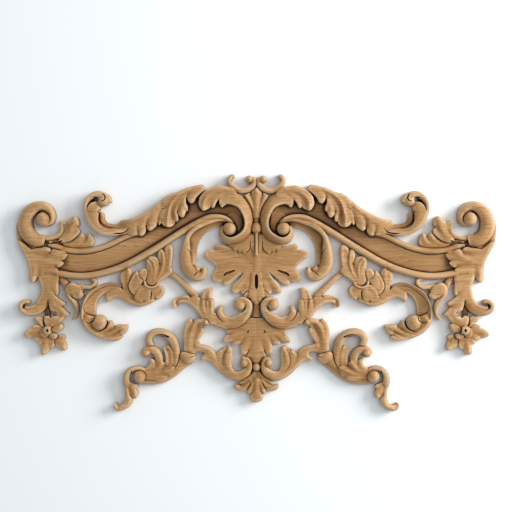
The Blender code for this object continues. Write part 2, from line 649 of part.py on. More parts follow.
def carve_right_half():
    """Every piece of the right half, with those on the middle line whole."""
    centre_stem()
    finial_scroll()
    main_volute()
    arm()
    arm_leaves()
    free_scroll()
    end_sprig()
    end_volute()
    end_leaf()
    drop()
    hanging_flower()
    inner_scroll()
    palmette()
    knuckle_leaf()
    rosette()
    lower_scroll()
    bell_bud()
    middle_scroll()
    fleuron()
    mid_leaf()
    foot_scroll()
    foot_leaf()
    knot_leaf()
    outer_scrolls()
    tail()


def boolean(target, operation, others):
    """Joins to the target, or keeps of it, what the other objects cover, and removes those objects."""
    helpers = bpy.data.collections.new("helpers")
    for other in others:
        helpers.objects.link(other)
        other.hide_render = True
        other.display_type = "WIRE"
    modifier = target.modifiers.new(operation.title(), "BOOLEAN")
    modifier.operation = operation
    modifier.operand_type = "COLLECTION"
    modifier.collection = helpers
    modifier.solver = "EXACT"
    settle(target)
    for other in others:
        bpy.data.objects.remove(other)
    bpy.data.collections.remove(helpers)


def settle(piece):
    """Turns an object's modifiers into its mesh."""
    bpy.context.view_layer.update()
    graph = bpy.context.evaluated_depsgraph_get()
    mesh = bpy.data.meshes.new_from_object(piece.evaluated_get(graph))
    piece.modifiers.clear()
    piece.data = mesh


def right_side_box():
    """A box that covers the front of the right half: it stops at the back and at the middle line."""
    bm = bmesh.new()
    bmesh.ops.create_cube(bm, size=1.0)
    deep = RELIEF * 2
    for vert in bm.verts:
        vert.co.x = (vert.co.x + 0.5) * WIDTH
        vert.co.y = (vert.co.y - 0.5) * deep
        vert.co.z = vert.co.z * WIDTH
    return new_piece("right_side", bm)


def open_on_middle_line(mesh):
    """Removes the faces that lie on the middle line, so that the mirrored half can join on there."""
    bm = bmesh.new()
    bm.from_mesh(mesh)
    on_line = [face for face in bm.faces if all(abs(vert.co.x) < CLOSE for vert in face.verts)]
    bmesh.ops.delete(bm, geom=on_line, context="FACES")
    for vert in bm.verts:
        if abs(vert.co.x) < CLOSE:
            vert.co.x = 0.0
    bm.to_mesh(mesh)
    bm.free()


def drop_loose_edges(mesh):
    """Removes the edges that no face uses any more, which thinning leaves behind."""
    bm = bmesh.new()
    bm.from_mesh(mesh)
    loose = [edge for edge in bm.edges if not edge.link_faces]
    bmesh.ops.delete(bm, geom=loose, context="EDGES")
    bm.to_mesh(mesh)
    bm.free()


def triangle_count(mesh):
    """How many triangles a mesh comes to."""
    mesh.calc_loop_triangles()
    return len(mesh.loop_triangles)


def oak():
    """The pale brown oak of the whole piece."""
    material = bpy.data.materials.new("oak")
    material.use_nodes = True
    shader = material.node_tree.nodes["Principled BSDF"]
    shader.inputs["Base Color"].default_value = WOOD_COLOUR
    shader.inputs["Roughness"].default_value = WOOD_ROUGHNESS
    shader.inputs["Metallic"].default_value = 0.0
    return material


def main():
    for old in list(bpy.data.objects):
        bpy.data.objects.remove(old)
    carve_right_half()
    pieces = list(bpy.context.scene.collection.objects)
    body = pieces[0]
    boolean(body, "UNION", pieces[1:])
    boolean(body, "INTERSECT", [right_side_box()])
    open_on_middle_line(body.data)
    other_half = body.modifiers.new("Left half", "MIRROR")
    other_half.use_mirror_merge = True
    other_half.merge_threshold = MERGE_WITHIN
    settle(body)
    print("triangles before thinning:", triangle_count(body.data))
    thin = body.modifiers.new("Fewer", "DECIMATE")
    thin.use_symmetry = True
    thin.symmetry_axis = "X"
    thin.ratio = min(1.0, MOST_TRIANGLES / triangle_count(body.data))
    settle(body)
    drop_loose_edges(body.data)
    body.name = "pediment"
    body.data.name = "pediment"
    body.data.materials.clear()
    body.data.materials.append(oak())
    body.data.shade_smooth()
    body.data.set_sharp_from_angle(angle=math.radians(SHARP_ANGLE))
    print("triangles:", triangle_count(body.data))


if __name__ == "__main__":
    main()
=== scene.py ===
# %% [markdown]
# # A carved oak pediment
#
# A pediment is the carved crest that stands on a cabinet, a bed or a mirror. This one is a single
# board of pale oak, sawn through between its scrolls and leaves and carved on the front, with a flat
# back that is glued or screwed on. Its left half mirrors its right half.
#
# The carver draws the outline first, then sets in the heights, and then rounds each leaf and scroll.
# The script works in that order too. Each scroll and stem of the right half is one closed strip that
# follows a path, and each leaf is one closed sheet with a true outline. They are joined into one
# solid, slits are cut where the gouge went deep, and the half is mirrored.

import math

import bmesh
import bpy
import numpy as np
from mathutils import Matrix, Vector
from mathutils.bvhtree import BVHTree
from mathutils.geometry import delaunay_2d_cdt


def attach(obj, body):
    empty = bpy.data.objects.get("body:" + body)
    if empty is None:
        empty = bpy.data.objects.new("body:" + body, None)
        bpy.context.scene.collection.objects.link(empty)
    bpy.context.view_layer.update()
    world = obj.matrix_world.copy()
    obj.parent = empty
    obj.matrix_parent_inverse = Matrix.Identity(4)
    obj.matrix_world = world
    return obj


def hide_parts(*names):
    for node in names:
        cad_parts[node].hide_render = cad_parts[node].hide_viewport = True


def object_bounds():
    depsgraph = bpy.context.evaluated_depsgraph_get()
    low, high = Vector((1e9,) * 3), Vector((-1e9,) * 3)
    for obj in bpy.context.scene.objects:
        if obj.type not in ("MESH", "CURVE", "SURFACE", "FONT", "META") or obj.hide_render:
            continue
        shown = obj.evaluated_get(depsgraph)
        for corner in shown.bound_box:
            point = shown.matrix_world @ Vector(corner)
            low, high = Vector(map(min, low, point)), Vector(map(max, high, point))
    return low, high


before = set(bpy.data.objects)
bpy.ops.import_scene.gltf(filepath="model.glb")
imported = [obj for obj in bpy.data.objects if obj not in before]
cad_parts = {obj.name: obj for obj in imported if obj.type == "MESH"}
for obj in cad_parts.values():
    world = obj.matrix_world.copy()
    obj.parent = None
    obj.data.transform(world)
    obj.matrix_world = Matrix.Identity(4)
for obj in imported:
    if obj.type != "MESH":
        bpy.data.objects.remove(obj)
cad_box = [list(corner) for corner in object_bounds()]
print("CAD box:", cad_box)

# %% [markdown]
# ## Measuring the carving
#
# The carving is drawn on a sheet 800 units wide, and heights are counted in 36 levels, so a unit and
# a level are both a millimetre on a pediment 800 mm wide. X runs along the width, Z is up, and the
# face looks along -Y. Two numbers say how finely a strip is cut: the longest step between two of its
# sections, and the most that it may bend in one step. Both count towards a step, so a bent stretch
# gets shorter ones.

# %% Sizes that every strip shares
MM = 0.001
BEHIND = -3.0  # each strip starts this level behind the back, and is cut off flat at level 0
ABOVE = 45.0  # a cutter reaches up to this level, clear of the highest eye
PITCH = 5.0  # a straight step, in mm
TURN = 0.2  # a step's bend, in radians
SAMPLES = 400  # points on a smooth line, from which the steps are picked
print("longest step", PITCH, "mm, sharpest bend", TURN, "rad")

# %% [markdown]
# ## A smooth line through a few points
#
# A carver sets out a scroll with a few marks and a bent lath. The same is done here with a
# Catmull-Rom curve, which passes through every mark. Its steps are spaced by the square root of the
# distance between marks, which keeps it from looping where two marks are close.


# %% A curve through marks
def curve_through(points, samples=SAMPLES):
    """Points along a smooth curve that passes through each given point."""
    given = np.array(points, float)
    before = 2 * given[0] - given[1]
    after = 2 * given[-1] - given[-2]
    knots = np.vstack([before, given, after])
    times = np.concatenate([[0], np.cumsum(np.linalg.norm(np.diff(knots, axis=0), axis=1) ** 0.5)])
    spots = np.linspace(times[1], times[-2], samples)
    legs = np.clip(np.searchsorted(times, spots, side="right") - 1, 1, len(knots) - 3)

    def between(low, high, start, end):
        share = (spots - start) / (end - start)
        return low * (1 - share[:, None]) + high * share[:, None]

    t0, t1, t2, t3 = (times[legs + k] for k in (-1, 0, 1, 2))
    p0, p1, p2, p3 = (knots[legs + k] for k in (-1, 0, 1, 2))
    a1 = between(p0, p1, t0, t1)
    a2 = between(p1, p2, t1, t2)
    a3 = between(p2, p3, t2, t3)
    b1 = between(a1, a2, t0, t2)
    b2 = between(a2, a3, t1, t3)
    return between(b1, b2, t1, t2)


def along(values, shares):
    """A size that changes smoothly along a strip, at the given shares of its length."""
    if np.isscalar(values):
        return np.full(len(shares), float(values))
    given = np.column_stack([np.linspace(0, 1, len(values)), values])
    if len(values) < 3:
        return np.interp(shares, given[:, 0], given[:, 1])
    smooth = curve_through(given)
    return np.interp(shares, smooth[:, 0], smooth[:, 1])


def picked_shares(line):
    """Shares of a line's length at which its sections stand, closer together where it bends."""
    steps = np.diff(line, axis=0)
    lengths = np.linalg.norm(steps, axis=1)
    headings = np.unwrap(np.arctan2(steps[:, 1], steps[:, 0]))
    turns = np.abs(np.diff(headings, prepend=headings[0]))
    cost = np.concatenate([[0], np.cumsum(lengths / PITCH + turns / TURN)])
    count = max(3, math.ceil(cost[-1]))
    distance = np.concatenate([[0], np.cumsum(lengths)])
    return np.interp(np.linspace(0, cost[-1], count + 1), cost, distance) / distance[-1]


print("points on a quarter turn:", len(picked_shares(curve_through([(0, 0), (7, 3), (10, 10)]))))

# %% [markdown]
# ## The gouge's cross-sections
#
# Each shape of gouge leaves its own cross-section. A section is drawn from one edge of a strip (-1)
# to the other (1), and says how much of the way from the edge's height to the crest's height each
# point stands. A bead, a pillow and a keel are alike on both sides, so only one side is drawn. The
# marks are smoothed with the same curve as the paths.

# %% Sections by their marks
def both_sides(half):
    """Marks from the edge up to the middle, then the same down to the other edge."""
    return [*half, (0, 1)] + [(-across, rise) for across, rise in reversed(half)]


SECTIONS = {
    "bead": both_sides([(-1, 0), (-0.93, 0.36), (-0.75, 0.68), (-0.4, 0.93)]),
    "pillow": both_sides([(-1, 0), (-0.9, 0.3), (-0.65, 0.7), (-0.3, 0.94)]),
    "keel": both_sides([(-1, 0), (-0.8, 0.28), (-0.45, 0.55), (-0.12, 0.88)]),
    "roll": [
        (-1, 0), (-0.9, 0.34), (-0.66, 0.7), (-0.35, 0.93), (-0.05, 1), (0.3, 0.97), (0.65, 0.86),
        (1, 0.6)
    ],
    "shell": [
        (-1, 0), (-0.9, 0.26), (-0.62, 0.54), (-0.2, 0.76), (0.3, 0.92), (0.72, 1), (0.92, 0.96),
        (1, 0.7)
    ],
    "cove": [(-1, 0), (-0.6, 0.02), (-0.2, 0.12), (0.2, 0.3), (0.6, 0.62), (1, 1)],
    "rim": [
        (-1, 0.2), (-0.95, 0.7), (-0.86, 1), (-0.76, 0.9), (-0.66, 0.62), (-0.4, 0.46),
        (0.3, 0.28), (1, 0.08)
    ],
}
print("sections:", list(SECTIONS))

# %% [markdown]
# ## Sections that a node tree can sweep
#
# A section is kept as a small closed loop of points. Its attributes `across` and `rise` say where
# each point goes, and `foot` marks the two points at the bottom. A wide strip gets more points than
# a narrow one, and the points stand closer together towards the edges, where a section is steep. A
# slit's section is a plain V with a blunt foot, because a gouge leaves a cut that narrows downwards.

# %% Sections as small loops
COUNTS = {"narrow": 9, "middle": 13, "wide": 17}  # points across the top
EVEN = 0.4  # 0 sets them out by a cosine, 1 evenly
SLIT_FOOT = 0.35  # width of a slit at its floor, as a share of its width at the top
FOOT_RISE = (-0.5, -0.5)  # what the two points at the bottom are given as their rise
section_store = {}


def add_object(name, data):
    """A new object in the scene, at the origin."""
    obj = bpy.data.objects.new(name, data)
    bpy.context.scene.collection.objects.link(obj)
    return obj


def float_attribute(mesh, name, values):
    """Stores one number for each point of a mesh."""
    layer = mesh.attributes.new(name, "FLOAT", "POINT")
    layer.data.foreach_set("value", np.asarray(values, np.float32))


def loop_object(name, across, rise, foot):
    """A closed loop of points that carry their place in the section."""
    count = len(across)
    mesh = bpy.data.meshes.new(name)
    spots = [(a, r, 0) for a, r in zip(across, rise)]
    mesh.from_pydata(spots, [(k, (k + 1) % count) for k in range(count)], [])
    float_attribute(mesh, "across", (np.array(across) + 1) / 2)
    float_attribute(mesh, "rise", rise)
    float_attribute(mesh, "foot", foot)
    return add_object(name, mesh)


for label, marks in SECTIONS.items():
    smooth = curve_through(marks)
    for width, count in COUNTS.items():
        spots = -np.cos(np.linspace(0, math.pi, count))
        spots = (1 - EVEN) * spots + EVEN * np.linspace(-1, 1, count)
        rise = np.interp(spots, smooth[:, 0], smooth[:, 1])
        name = f"section_{label}_{width}"
        foot = [0] * count + [1, 1]
        section_store[label, width] = loop_object(name, [*spots, 1, -1], [*rise, *FOOT_RISE], foot)
slit_across = (-1, 1, SLIT_FOOT, -SLIT_FOOT)
section_store["slit"] = loop_object("section_slit", slit_across, (1, 1, 0, 0), (0, 0, 1, 1))
print(len(section_store), "loops")

# %% [markdown]
# ## One node tree that sweeps a section along a path
#
# Whatever follows a path is made by the same tree. `Curve to Mesh` sweeps the section's loop along
# the path and closes both ends. Every point of the result keeps the attributes of its section point
# and of its path point, so the tree can then put it exactly where it belongs: across from the left
# edge line to the right one, and up from the edge's height to the crest's height. Sweeping with
# attributes in this way gives strips that widen, narrow and rise as real carving does, which a plain
# sweep of a fixed profile can't.


# %% The sweeping tree
def build_sweep():
    """The node tree: it takes a path, a section's loop and a material, and gives a closed strip."""
    tree = bpy.data.node_groups.new("Carved strip", "GeometryNodeTree")
    face = tree.interface
    face.new_socket("Geometry", in_out="INPUT", socket_type="NodeSocketGeometry")
    face.new_socket("Section", in_out="INPUT", socket_type="NodeSocketObject")
    face.new_socket("Wood", in_out="INPUT", socket_type="NodeSocketMaterial")
    face.new_socket("Geometry", in_out="OUTPUT", socket_type="NodeSocketGeometry")

    def node(kind, links=None, **settings):
        made = tree.nodes.new(kind)
        for key, value in settings.items():
            setattr(made, key, value)
        for key, source in (links or {}).items():
            if isinstance(source, bpy.types.NodeSocket):
                tree.links.new(source, made.inputs[key])
            else:
                made.inputs[key].default_value = source
        return made

    def named(name, kind):
        found = node("GeometryNodeInputNamedAttribute", {"Name": name}, data_type=kind)
        return found.outputs["Attribute"]

    def maths(operation, first, second):
        return node("ShaderNodeMath", {0: first, 1: second}, operation=operation).outputs[0]

    given = node("NodeGroupInput")
    section = node("GeometryNodeObjectInfo", {"Object": given.outputs["Section"]})
    path = node("GeometryNodeMeshToCurve", {"Mesh": given.outputs["Geometry"]})
    loop = node("GeometryNodeMeshToCurve", {"Mesh": section.outputs["Geometry"]})
    links = {"Curve": path.outputs["Curve"], "Profile Curve": loop.outputs["Curve"], "Fill Caps": True}
    swept = node("GeometryNodeCurveToMesh", links)
    edge = named("edge", "FLOAT")
    lift = maths("MULTIPLY", maths("SUBTRACT", named("crest", "FLOAT"), edge), named("rise", "FLOAT"))
    top = maths("MULTIPLY", maths("ADD", edge, lift), maths("SUBTRACT", 1.0, named("foot", "FLOAT")))
    height = maths("ADD", top, maths("MULTIPLY", named("floor", "FLOAT"), named("foot", "FLOAT")))
    forward = node("ShaderNodeCombineXYZ", {"Y": maths("MULTIPLY", height, -1.0)}).outputs[0]
    blend = node("ShaderNodeMix", data_type="VECTOR")
    sockets = [socket for socket in blend.inputs if socket.enabled]
    tree.links.new(named("across", "FLOAT"), sockets[0])
    tree.links.new(named("left", "FLOAT_VECTOR"), sockets[1])
    tree.links.new(named("right", "FLOAT_VECTOR"), sockets[2])
    flat = next(socket for socket in blend.outputs if socket.enabled)
    place = node("ShaderNodeVectorMath", {0: flat, 1: forward}, operation="ADD").outputs[0]
    placed = node("GeometryNodeSetPosition", {"Geometry": swept.outputs["Mesh"], "Position": place})
    real = node("GeometryNodeRealizeInstances", {"Geometry": placed.outputs["Geometry"]})
    links = {"Geometry": real.outputs["Geometry"], "Material": given.outputs["Wood"]}
    painted = node("GeometryNodeSetMaterial", links)
    node("NodeGroupOutput", {"Geometry": painted.outputs["Geometry"]})
    return tree


sweep = build_sweep()
sweep_inputs = [item for item in sweep.interface.items_tree if item.in_out == "INPUT"]
SOCKETS = {item.name: item.identifier for item in sweep_inputs}
oak = bpy.data.materials.new("oak")
print("sweep takes", sorted(SOCKETS))

# %% [markdown]
# ## A strip, and the list of wood and cuts
#
# Every strip below is made here. It is only a path with attributes for its edge lines and heights,
# and the node tree makes its surface. Wood and cuts are kept in two lists until all are drawn.

# %% One strip
NARROW = 4.2  # half-widths in mm below which a strip is narrow, or of middle width
MIDDLE = 8.4
solids = []
cutters = []


def strip(left, right, edges, crests, floors, section, store):
    """Adds one strip as a path that the tree sweeps a section along."""
    count = len(left)
    mesh = bpy.data.meshes.new("strip")
    middle = (left + right) / 2 * MM
    mesh.from_pydata([(x, 0, z) for x, z in middle], [(k, k + 1) for k in range(count - 1)], [])
    for name, side in (("left", left), ("right", right)):
        spots = np.column_stack([side[:, 0], np.zeros(count), side[:, 1]]) * MM
        mesh.attributes.new(name, "FLOAT_VECTOR", "POINT").data.foreach_set("vector", spots.ravel())
    for name, values in (("edge", edges), ("crest", crests), ("floor", floors)):
        float_attribute(mesh, name, values * MM)
    obj = add_object("strip", mesh)
    modifier = obj.modifiers.new("Sweep", "NODES")
    modifier.node_group = sweep
    modifier[SOCKETS["Section"]] = section
    modifier[SOCKETS["Wood"]] = oak
    store.append(obj)


def fitting_section(name, half_width):
    """The named section's loop, with points enough for the strip's half-width."""
    width = "narrow" if half_width < NARROW else "middle" if half_width < MIDDLE else "wide"
    return section_store[name, width]


print("a strip has sections in", len(COUNTS), "widths")

# %% [markdown]
# ## Fingers, bands and cuts
#
# A `finger` follows one path with a half-width that changes, and has rounded ends. A `band` is ruled
# between two edges, which suits a volute, whose inner and outer turns run apart. A `slit` and a
# `pocket` aren't wood but cuts. They are taken away at the end, down to the level that they name. A
# slit follows a path as a finger does, and a pocket is ruled as a band is.

# %% Fingers, bands and cuts
END_ANGLES = np.radians((10, 25, 42, 60, 78))  # where the sections of a rounded end stand
END_REACH = 0.9  # length of a rounded end, for each unit of half-width
MOST_END = 0.4  # most of a strip's length that a rounded end takes
END_CREST = 0.35  # share of its rise that a strip keeps at the tip of a rounded end
BEAD_DROP = 0.85  # how far a finger's edge lies below its crest, for each unit of half-width
LEAF_DROP = 0.42  # the same for a band
SLIT_GAIN = 1.3  # a slit is cut wider than its dark line looks


def edge_lines(path, widths, root, tip):
    """The two edge lines of a strip, and the shares of its length and roundness at each section."""
    line = curve_through(path)
    lengths = np.linalg.norm(np.diff(line, axis=0), axis=1)
    distance = np.concatenate([[0], np.cumsum(lengths)])
    whole = distance[-1]
    end_widths = along(widths, np.array([0.0, 1.0]))
    reach = [min(width * END_REACH, whole * MOST_END) for width in end_widths]
    shares = picked_shares(line)
    low = reach[0] / whole if root else 0.0
    high = 1 - reach[1] / whole if tip else 1.0
    shares = low + shares * (high - low)
    rounding = np.ones(len(shares))
    if root:
        shares = np.concatenate([low * (1 - np.cos(END_ANGLES)), shares])
        rounding = np.concatenate([np.sin(END_ANGLES), rounding])
    if tip:
        shares = np.concatenate([shares, 1 - (1 - high) * (1 - np.cos(END_ANGLES[::-1]))])
        rounding = np.concatenate([rounding, np.sin(END_ANGLES[::-1])])
    shares[0] = 0.0
    shares[-1] = 1.0
    spots = np.column_stack([np.interp(shares * whole, distance, line[:, k]) for k in (0, 1)])
    slopes = np.gradient(line, axis=0)
    slopes /= np.linalg.norm(slopes, axis=1)[:, None]
    normals = np.column_stack([np.interp(shares * whole, distance, slopes[:, k]) for k in (0, 1)])
    normals = np.column_stack([-normals[:, 1], normals[:, 0]])
    half = along(widths, shares) * rounding
    return spots + normals * half[:, None], spots - normals * half[:, None], shares, rounding


def finger(path, widths, crests, section="bead", edges=None, root=0, tip=1, drop=BEAD_DROP):
    """A strip along a path. An end is round where its `root` or `tip` is 1, square where it is 0."""
    left, right, shares, rounding = edge_lines(path, widths, root, tip)
    crest = along(crests, shares)
    edge = crest - along(widths, shares) * drop if edges is None else along(edges, shares)
    crest = edge + (crest - edge) * (END_CREST + (1 - END_CREST) * rounding)
    loop = fitting_section(section, np.max(widths))
    strip(left, right, edge, crest, np.full(len(left), BEHIND), loop, solids)


def ruled(pairs):
    """Two edge lines through pairs of facing points, and the shares at their sections."""
    both = curve_through([(*first, *second) for first, second in pairs])
    middle = (both[:, :2] + both[:, 2:]) / 2
    shares = max(picked_shares(middle), picked_shares(both[:, :2]), key=len)
    spots = np.linspace(0, 1, len(both))
    both = np.column_stack([np.interp(shares, spots, both[:, k]) for k in range(4)])
    return both[:, :2], both[:, 2:], shares


def band(pairs, crests, section="bead", edges=None, drop=LEAF_DROP):
    """A strip between two edges, given as pairs of points that face each other across it."""
    left, right, shares = ruled(pairs)
    crest = along(crests, shares)
    half = np.linalg.norm(left - right, axis=1) / 2
    edge = crest - half * drop if edges is None else along(edges, shares)
    loop = fitting_section(section, np.max(half))
    strip(left, right, edge, crest, np.full(len(left), BEHIND), loop, solids)


def cut(left, right, shares, floor):
    """Takes away what stands between two edge lines, down to the level `floor`."""
    top = np.full(len(left), ABOVE)
    strip(left, right, top, top, along(floor, shares), section_store["slit"], cutters)


def slit(path, widths, floor, root=1, tip=1):
    """A narrow cut along a path."""
    left, right, shares, _ = edge_lines(path, np.array(widths) * SLIT_GAIN, root, tip)
    cut(left, right, shares, floor)


def pocket(pairs, floor):
    """A cut between two edges, given as pairs of points as for a band."""
    cut(*ruled(pairs), floor)


print("a rounded end has", len(END_ANGLES), "sections")

# %% [markdown]
# ## Leaves
#
# A leaf's lobes and notches are too fine for strips, so its outline is drawn in full. Points are set
# along the outline and on a grid inside it, and a Delaunay triangulation joins them. Each point then
# gets the height that a rule for the leaf's surface gives there: level inside, rounded down towards
# the edge, lower along each crease and higher along each rib. Walls and a back close the sheet.

# %% Sheets with a true outline
GRID = 1.6  # spacing of the points inside a sheet, in mm
ROW = 0.87  # spacing of the grid's rows, as a share of that
CLEAR = 0.55  # least distance from the outline, as a share of that
OUTLINE_SAMPLES = 60  # points on the smooth outline for each mark
SAME_POINT = 1e-5


def outline_points(outline):
    """Evenly spaced points on the smooth closed outline."""
    line = curve_through(outline + outline[:1], OUTLINE_SAMPLES * len(outline))
    steps = np.concatenate([[0], np.cumsum(np.linalg.norm(np.diff(line, axis=0), axis=1))])
    count = max(8, int(steps[-1] / GRID))
    places = np.linspace(0, steps[-1], count + 1)[:-1]
    return np.column_stack([np.interp(places, steps, line[:, k]) for k in (0, 1)])


def from_points(spots, others):
    """The distance from each spot to the nearest of the others."""
    return np.linalg.norm(spots[:, None] - others[None], axis=2).min(1)


def points_inside(rim):
    """A staggered grid over the outline, without the points that lie close to it."""
    low, high = rim.min(0), rim.max(0)
    inside = []
    for number, z in enumerate(np.arange(low[1], high[1], GRID * ROW)):
        shift = GRID / 2 * (number % 2)
        inside += [(x, z) for x in np.arange(low[0] + shift, high[0], GRID)]
    inside = np.array(inside)
    return inside[from_points(inside, rim) > GRID * CLEAR]


def finished(name, bm, mesh):
    """Turns the faces outwards, writes them to the mesh and keeps it with the wood."""
    bmesh.ops.recalc_face_normals(bm, faces=bm.faces)
    bm.to_mesh(mesh)
    bm.free()
    mesh.materials.append(oak)
    solids.append(add_object(name, mesh))


def sheet(outline, surface):
    """A closed piece with a true outline, whose top follows `surface`, a function that gives levels."""
    rim = outline_points(outline)
    spots = [Vector(spot) for spot in np.vstack([rim, points_inside(rim)])]
    found = delaunay_2d_cdt(spots, [], [list(range(len(rim)))], 1, SAME_POINT)
    points, faces = np.array([tuple(spot) for spot in found[0]]), found[2]
    border = {}
    for face in faces:
        for first, second in zip(face, face[1:] + face[:1]):
            if (second, first) in border:
                del border[second, first]
            else:
                border[first, second] = True
    heights = surface(points[:, 0], points[:, 1], from_points(points, rim))
    total = len(points)
    top = [(x * MM, -h * MM, z * MM) for (x, z), h in zip(points, heights)]
    bottom = [(x * MM, -BEHIND * MM, z * MM) for x, z in points]
    walls = [(second, first, first + total, second + total) for first, second in border]
    back = [tuple(k + total for k in reversed(face)) for face in faces]
    bm = bmesh.new()
    mesh = bpy.data.meshes.new("sheet")
    mesh.from_pydata(top + bottom, [], [tuple(face) for face in faces] + walls + back)
    bm.from_mesh(mesh)
    finished("sheet", bm, mesh)


print("a sheet's points stand", GRID, "mm apart")

# %% A leaf's surface
EDGE_GAIN = 0.55  # share of its stated fall that a leaf's edge keeps, so that the arris stays crisp
FALL_RATE = 2  # how fast the fall fades, over the edge's width
LINE_FADE = 0.75  # share of its depth that a crease or a rib loses on the way to its end
LINE_SAMPLES = 80


def from_line(x, z, path):
    """How far points lie from a path, and how far along it, as a share of its length."""
    line = curve_through(path, LINE_SAMPLES)
    spots = np.column_stack([x, z])
    reach = np.linalg.norm(spots[:, None] - line[None], axis=2)
    nearest = reach.argmin(1)
    return reach[np.arange(len(spots)), nearest], nearest / (len(line) - 1)


def leaf(outline, crest, creases=(), ribs=(), edge_fall=3.5, edge_width=5.0):
    """A leaf. A crease or a rib is (path, depth or height, width at its start, width at its end)."""
    def surface(x, z, gap):
        height = crest - EDGE_GAIN * edge_fall * np.exp(-gap / edge_width * FALL_RATE)
        for sign, lines in ((-1, creases), (1, ribs)):
            for path, depth, first, last in lines:
                reach, share = from_line(x, z, path)
                width = first + (last - first) * share
                bell = np.exp(-((reach / width) ** 2))
                height = height + sign * depth * (1 - LINE_FADE * share) * bell
        return height

    sheet(outline, surface)


print("a leaf's edge keeps", EDGE_GAIN, "of its fall")

# %% [markdown]
# ## Eyes
#
# An eye is the button in the middle of a scroll, or a ball. It is a short drum with a rounded top,
# made of rings that shrink as they rise. The top is closed with a fan of triangles round its peak.

# %% Eyes
EYE_SIDES = 40
EYE_RINGS = 9


def eye(x, z, radius, top, base):
    """A round eye from the level `base` up to the level `top`, on a drum that goes down to the back."""
    bm = bmesh.new()
    levels = [(BEHIND, 1.0)]
    for angle in np.linspace(0, math.pi / 2, EYE_RINGS, endpoint=False):
        levels.append((base + (top - base) * math.sin(angle), math.cos(angle)))
    turns = np.linspace(0, 2 * math.pi, EYE_SIDES, endpoint=False)
    loops = []
    for height, share in levels:
        reach = radius * share
        ring = [(x + reach * math.cos(t), -height, z + reach * math.sin(t)) for t in turns]
        loops.append([bm.verts.new(np.array(spot) * MM) for spot in ring])
    for near, far in zip(loops, loops[1:]):
        for k in range(EYE_SIDES):
            after = (k + 1) % EYE_SIDES
            bm.faces.new((near[k], near[after], far[after], far[k]))
    bm.faces.new(loops[0])
    peak = bm.verts.new((x * MM, -top * MM, z * MM))
    for k in range(EYE_SIDES):
        bm.faces.new((loops[-1][k], loops[-1][(k + 1) % EYE_SIDES], peak))
    finished("eye", bm, bpy.data.meshes.new("eye"))


def carved(title):
    """Says how far the carving has come."""
    print(f"{title}: {len(solids)} pieces of wood, {len(cutters)} cuts so far")


carved("ready")

# %% [markdown]
# ## The stem and the husk on the middle line
#
# A reeded stem rises between the two volutes to a ball, and a small three-lobed husk grows out of
# it. The reed is cut free by two thin grooves, which catch shade and make the stem look slender.

# %% The stem and the husk on the middle line
finger([(0, 20), (0, 60), (0, 102)], (10, 9.5, 8), (17, 18, 19), root=1)
finger([(0, 62), (0, 80), (0, 101)], 2.3, 22)
eye(0, 108, 9.3, 27, 16)
finger([(0, 112), (0, 128), (0, 142), (0, 156)], (5.5, 4.2, 6.5, 9), (18, 18, 20, 22))
outline = [
    (-2, 174.5), (0, 174.5), (3.5, 172), (7.5, 168.5), (10, 165), (12.3, 166.3), (15.5, 164),
    (19.8, 162.5), (17.3, 157), (13, 150), (9.2, 142), (6.4, 134), (4.4, 124), (-2, 124)
]
ribs = [
    ([(0, 174), (0, 150), (0, 126)], 3, 3.5, 2.5), ([(17, 161), (11, 151), (5, 136)], 2, 3, 2.5)
]
leaf(outline, 20, [([(10, 165), (7.5, 156), (4, 142)], 3, 1.8, 2)], ribs, 4, 3.5)
slit([(3.2, 98), (3.2, 80), (3, 66)], (0.7, 0.9, 0.6), 13)
slit([(6.5, 172), (9, 166), (11.5, 160)], (0.5, 0.9, 0.6), 12)
carved("The stem and the husk on the middle line")

# %% [markdown]
# ## The small scroll on each volute
#
# Two U-shaped scrolls stand back to back on top of the volutes. Each is one bead that starts in a
# ball and ends in a small hook.

# %% The small scroll on each volute
path = [
    (11, 189), (5, 190), (4, 183), (8, 176), (16, 171.5), (25, 170), (34, 173), (41, 179),
    (44.5, 187), (41, 193.5), (36, 193)
]
finger(path, (3, 4.2, 5, 5, 4.6, 4.2, 3), (20, 22, 22, 22, 23, 23, 22), root=1)
eye(11.5, 189, 6.2, 27, 14)
slit([(38, 189.5), (40.5, 187.5), (41, 184)], (0.6, 1.1, 0.6), 12)
slit([(13, 181.5), (17, 178.5), (22, 177.5)], (0.4, 0.8, 0.4), 12)
carved("The small scroll on each volute")

# %% [markdown]
# ## The large volute
#
# This is the strongest form of the carving: a broad rolled rim that turns once round its eye. Its
# rim is ruled between an outer and an inner line, because it narrows towards the eye. The groove
# round the eye is cut deep, so that it stays dark.

# %% The large volute
pairs = [
    ((62, 176), (61, 146)), ((42, 173), (46, 147)), ((22, 160), (31, 141)), ((9, 140), (22.5, 127)),
    ((5.5, 120), (20, 115)), ((9, 100), (23, 104)), ((21, 86), (31, 97)), ((40, 79.5), (41, 92.5)),
    ((56, 84), (50, 95)), ((62.5, 99), (55.5, 102)), ((58, 112), (53, 108))
]
band(pairs, (25, 26, 28, 30, 31, 32, 32, 32, 31, 28, 24), "shell", 14)
eye(43, 108, 17, 11, 10)
eye(36, 118, 17, 10, 9)
eye(45, 106, 11, 36, 19)
slit(
    [(32, 109), (33, 103), (35.5, 97.5), (40.5, 93.5), (46, 93.5), (51, 96), (55, 100)],
    (0.9, 1.3, 1.3, 1.3, 0.7), 10
)
carved("The large volute")

# %% [markdown]
# ## The long arm
#
# The arm is a moulding: a bead along the bottom, a plain hollow face and a second bead along the
# top. Two quirks, the thin dark lines beside a bead, are cut along it.

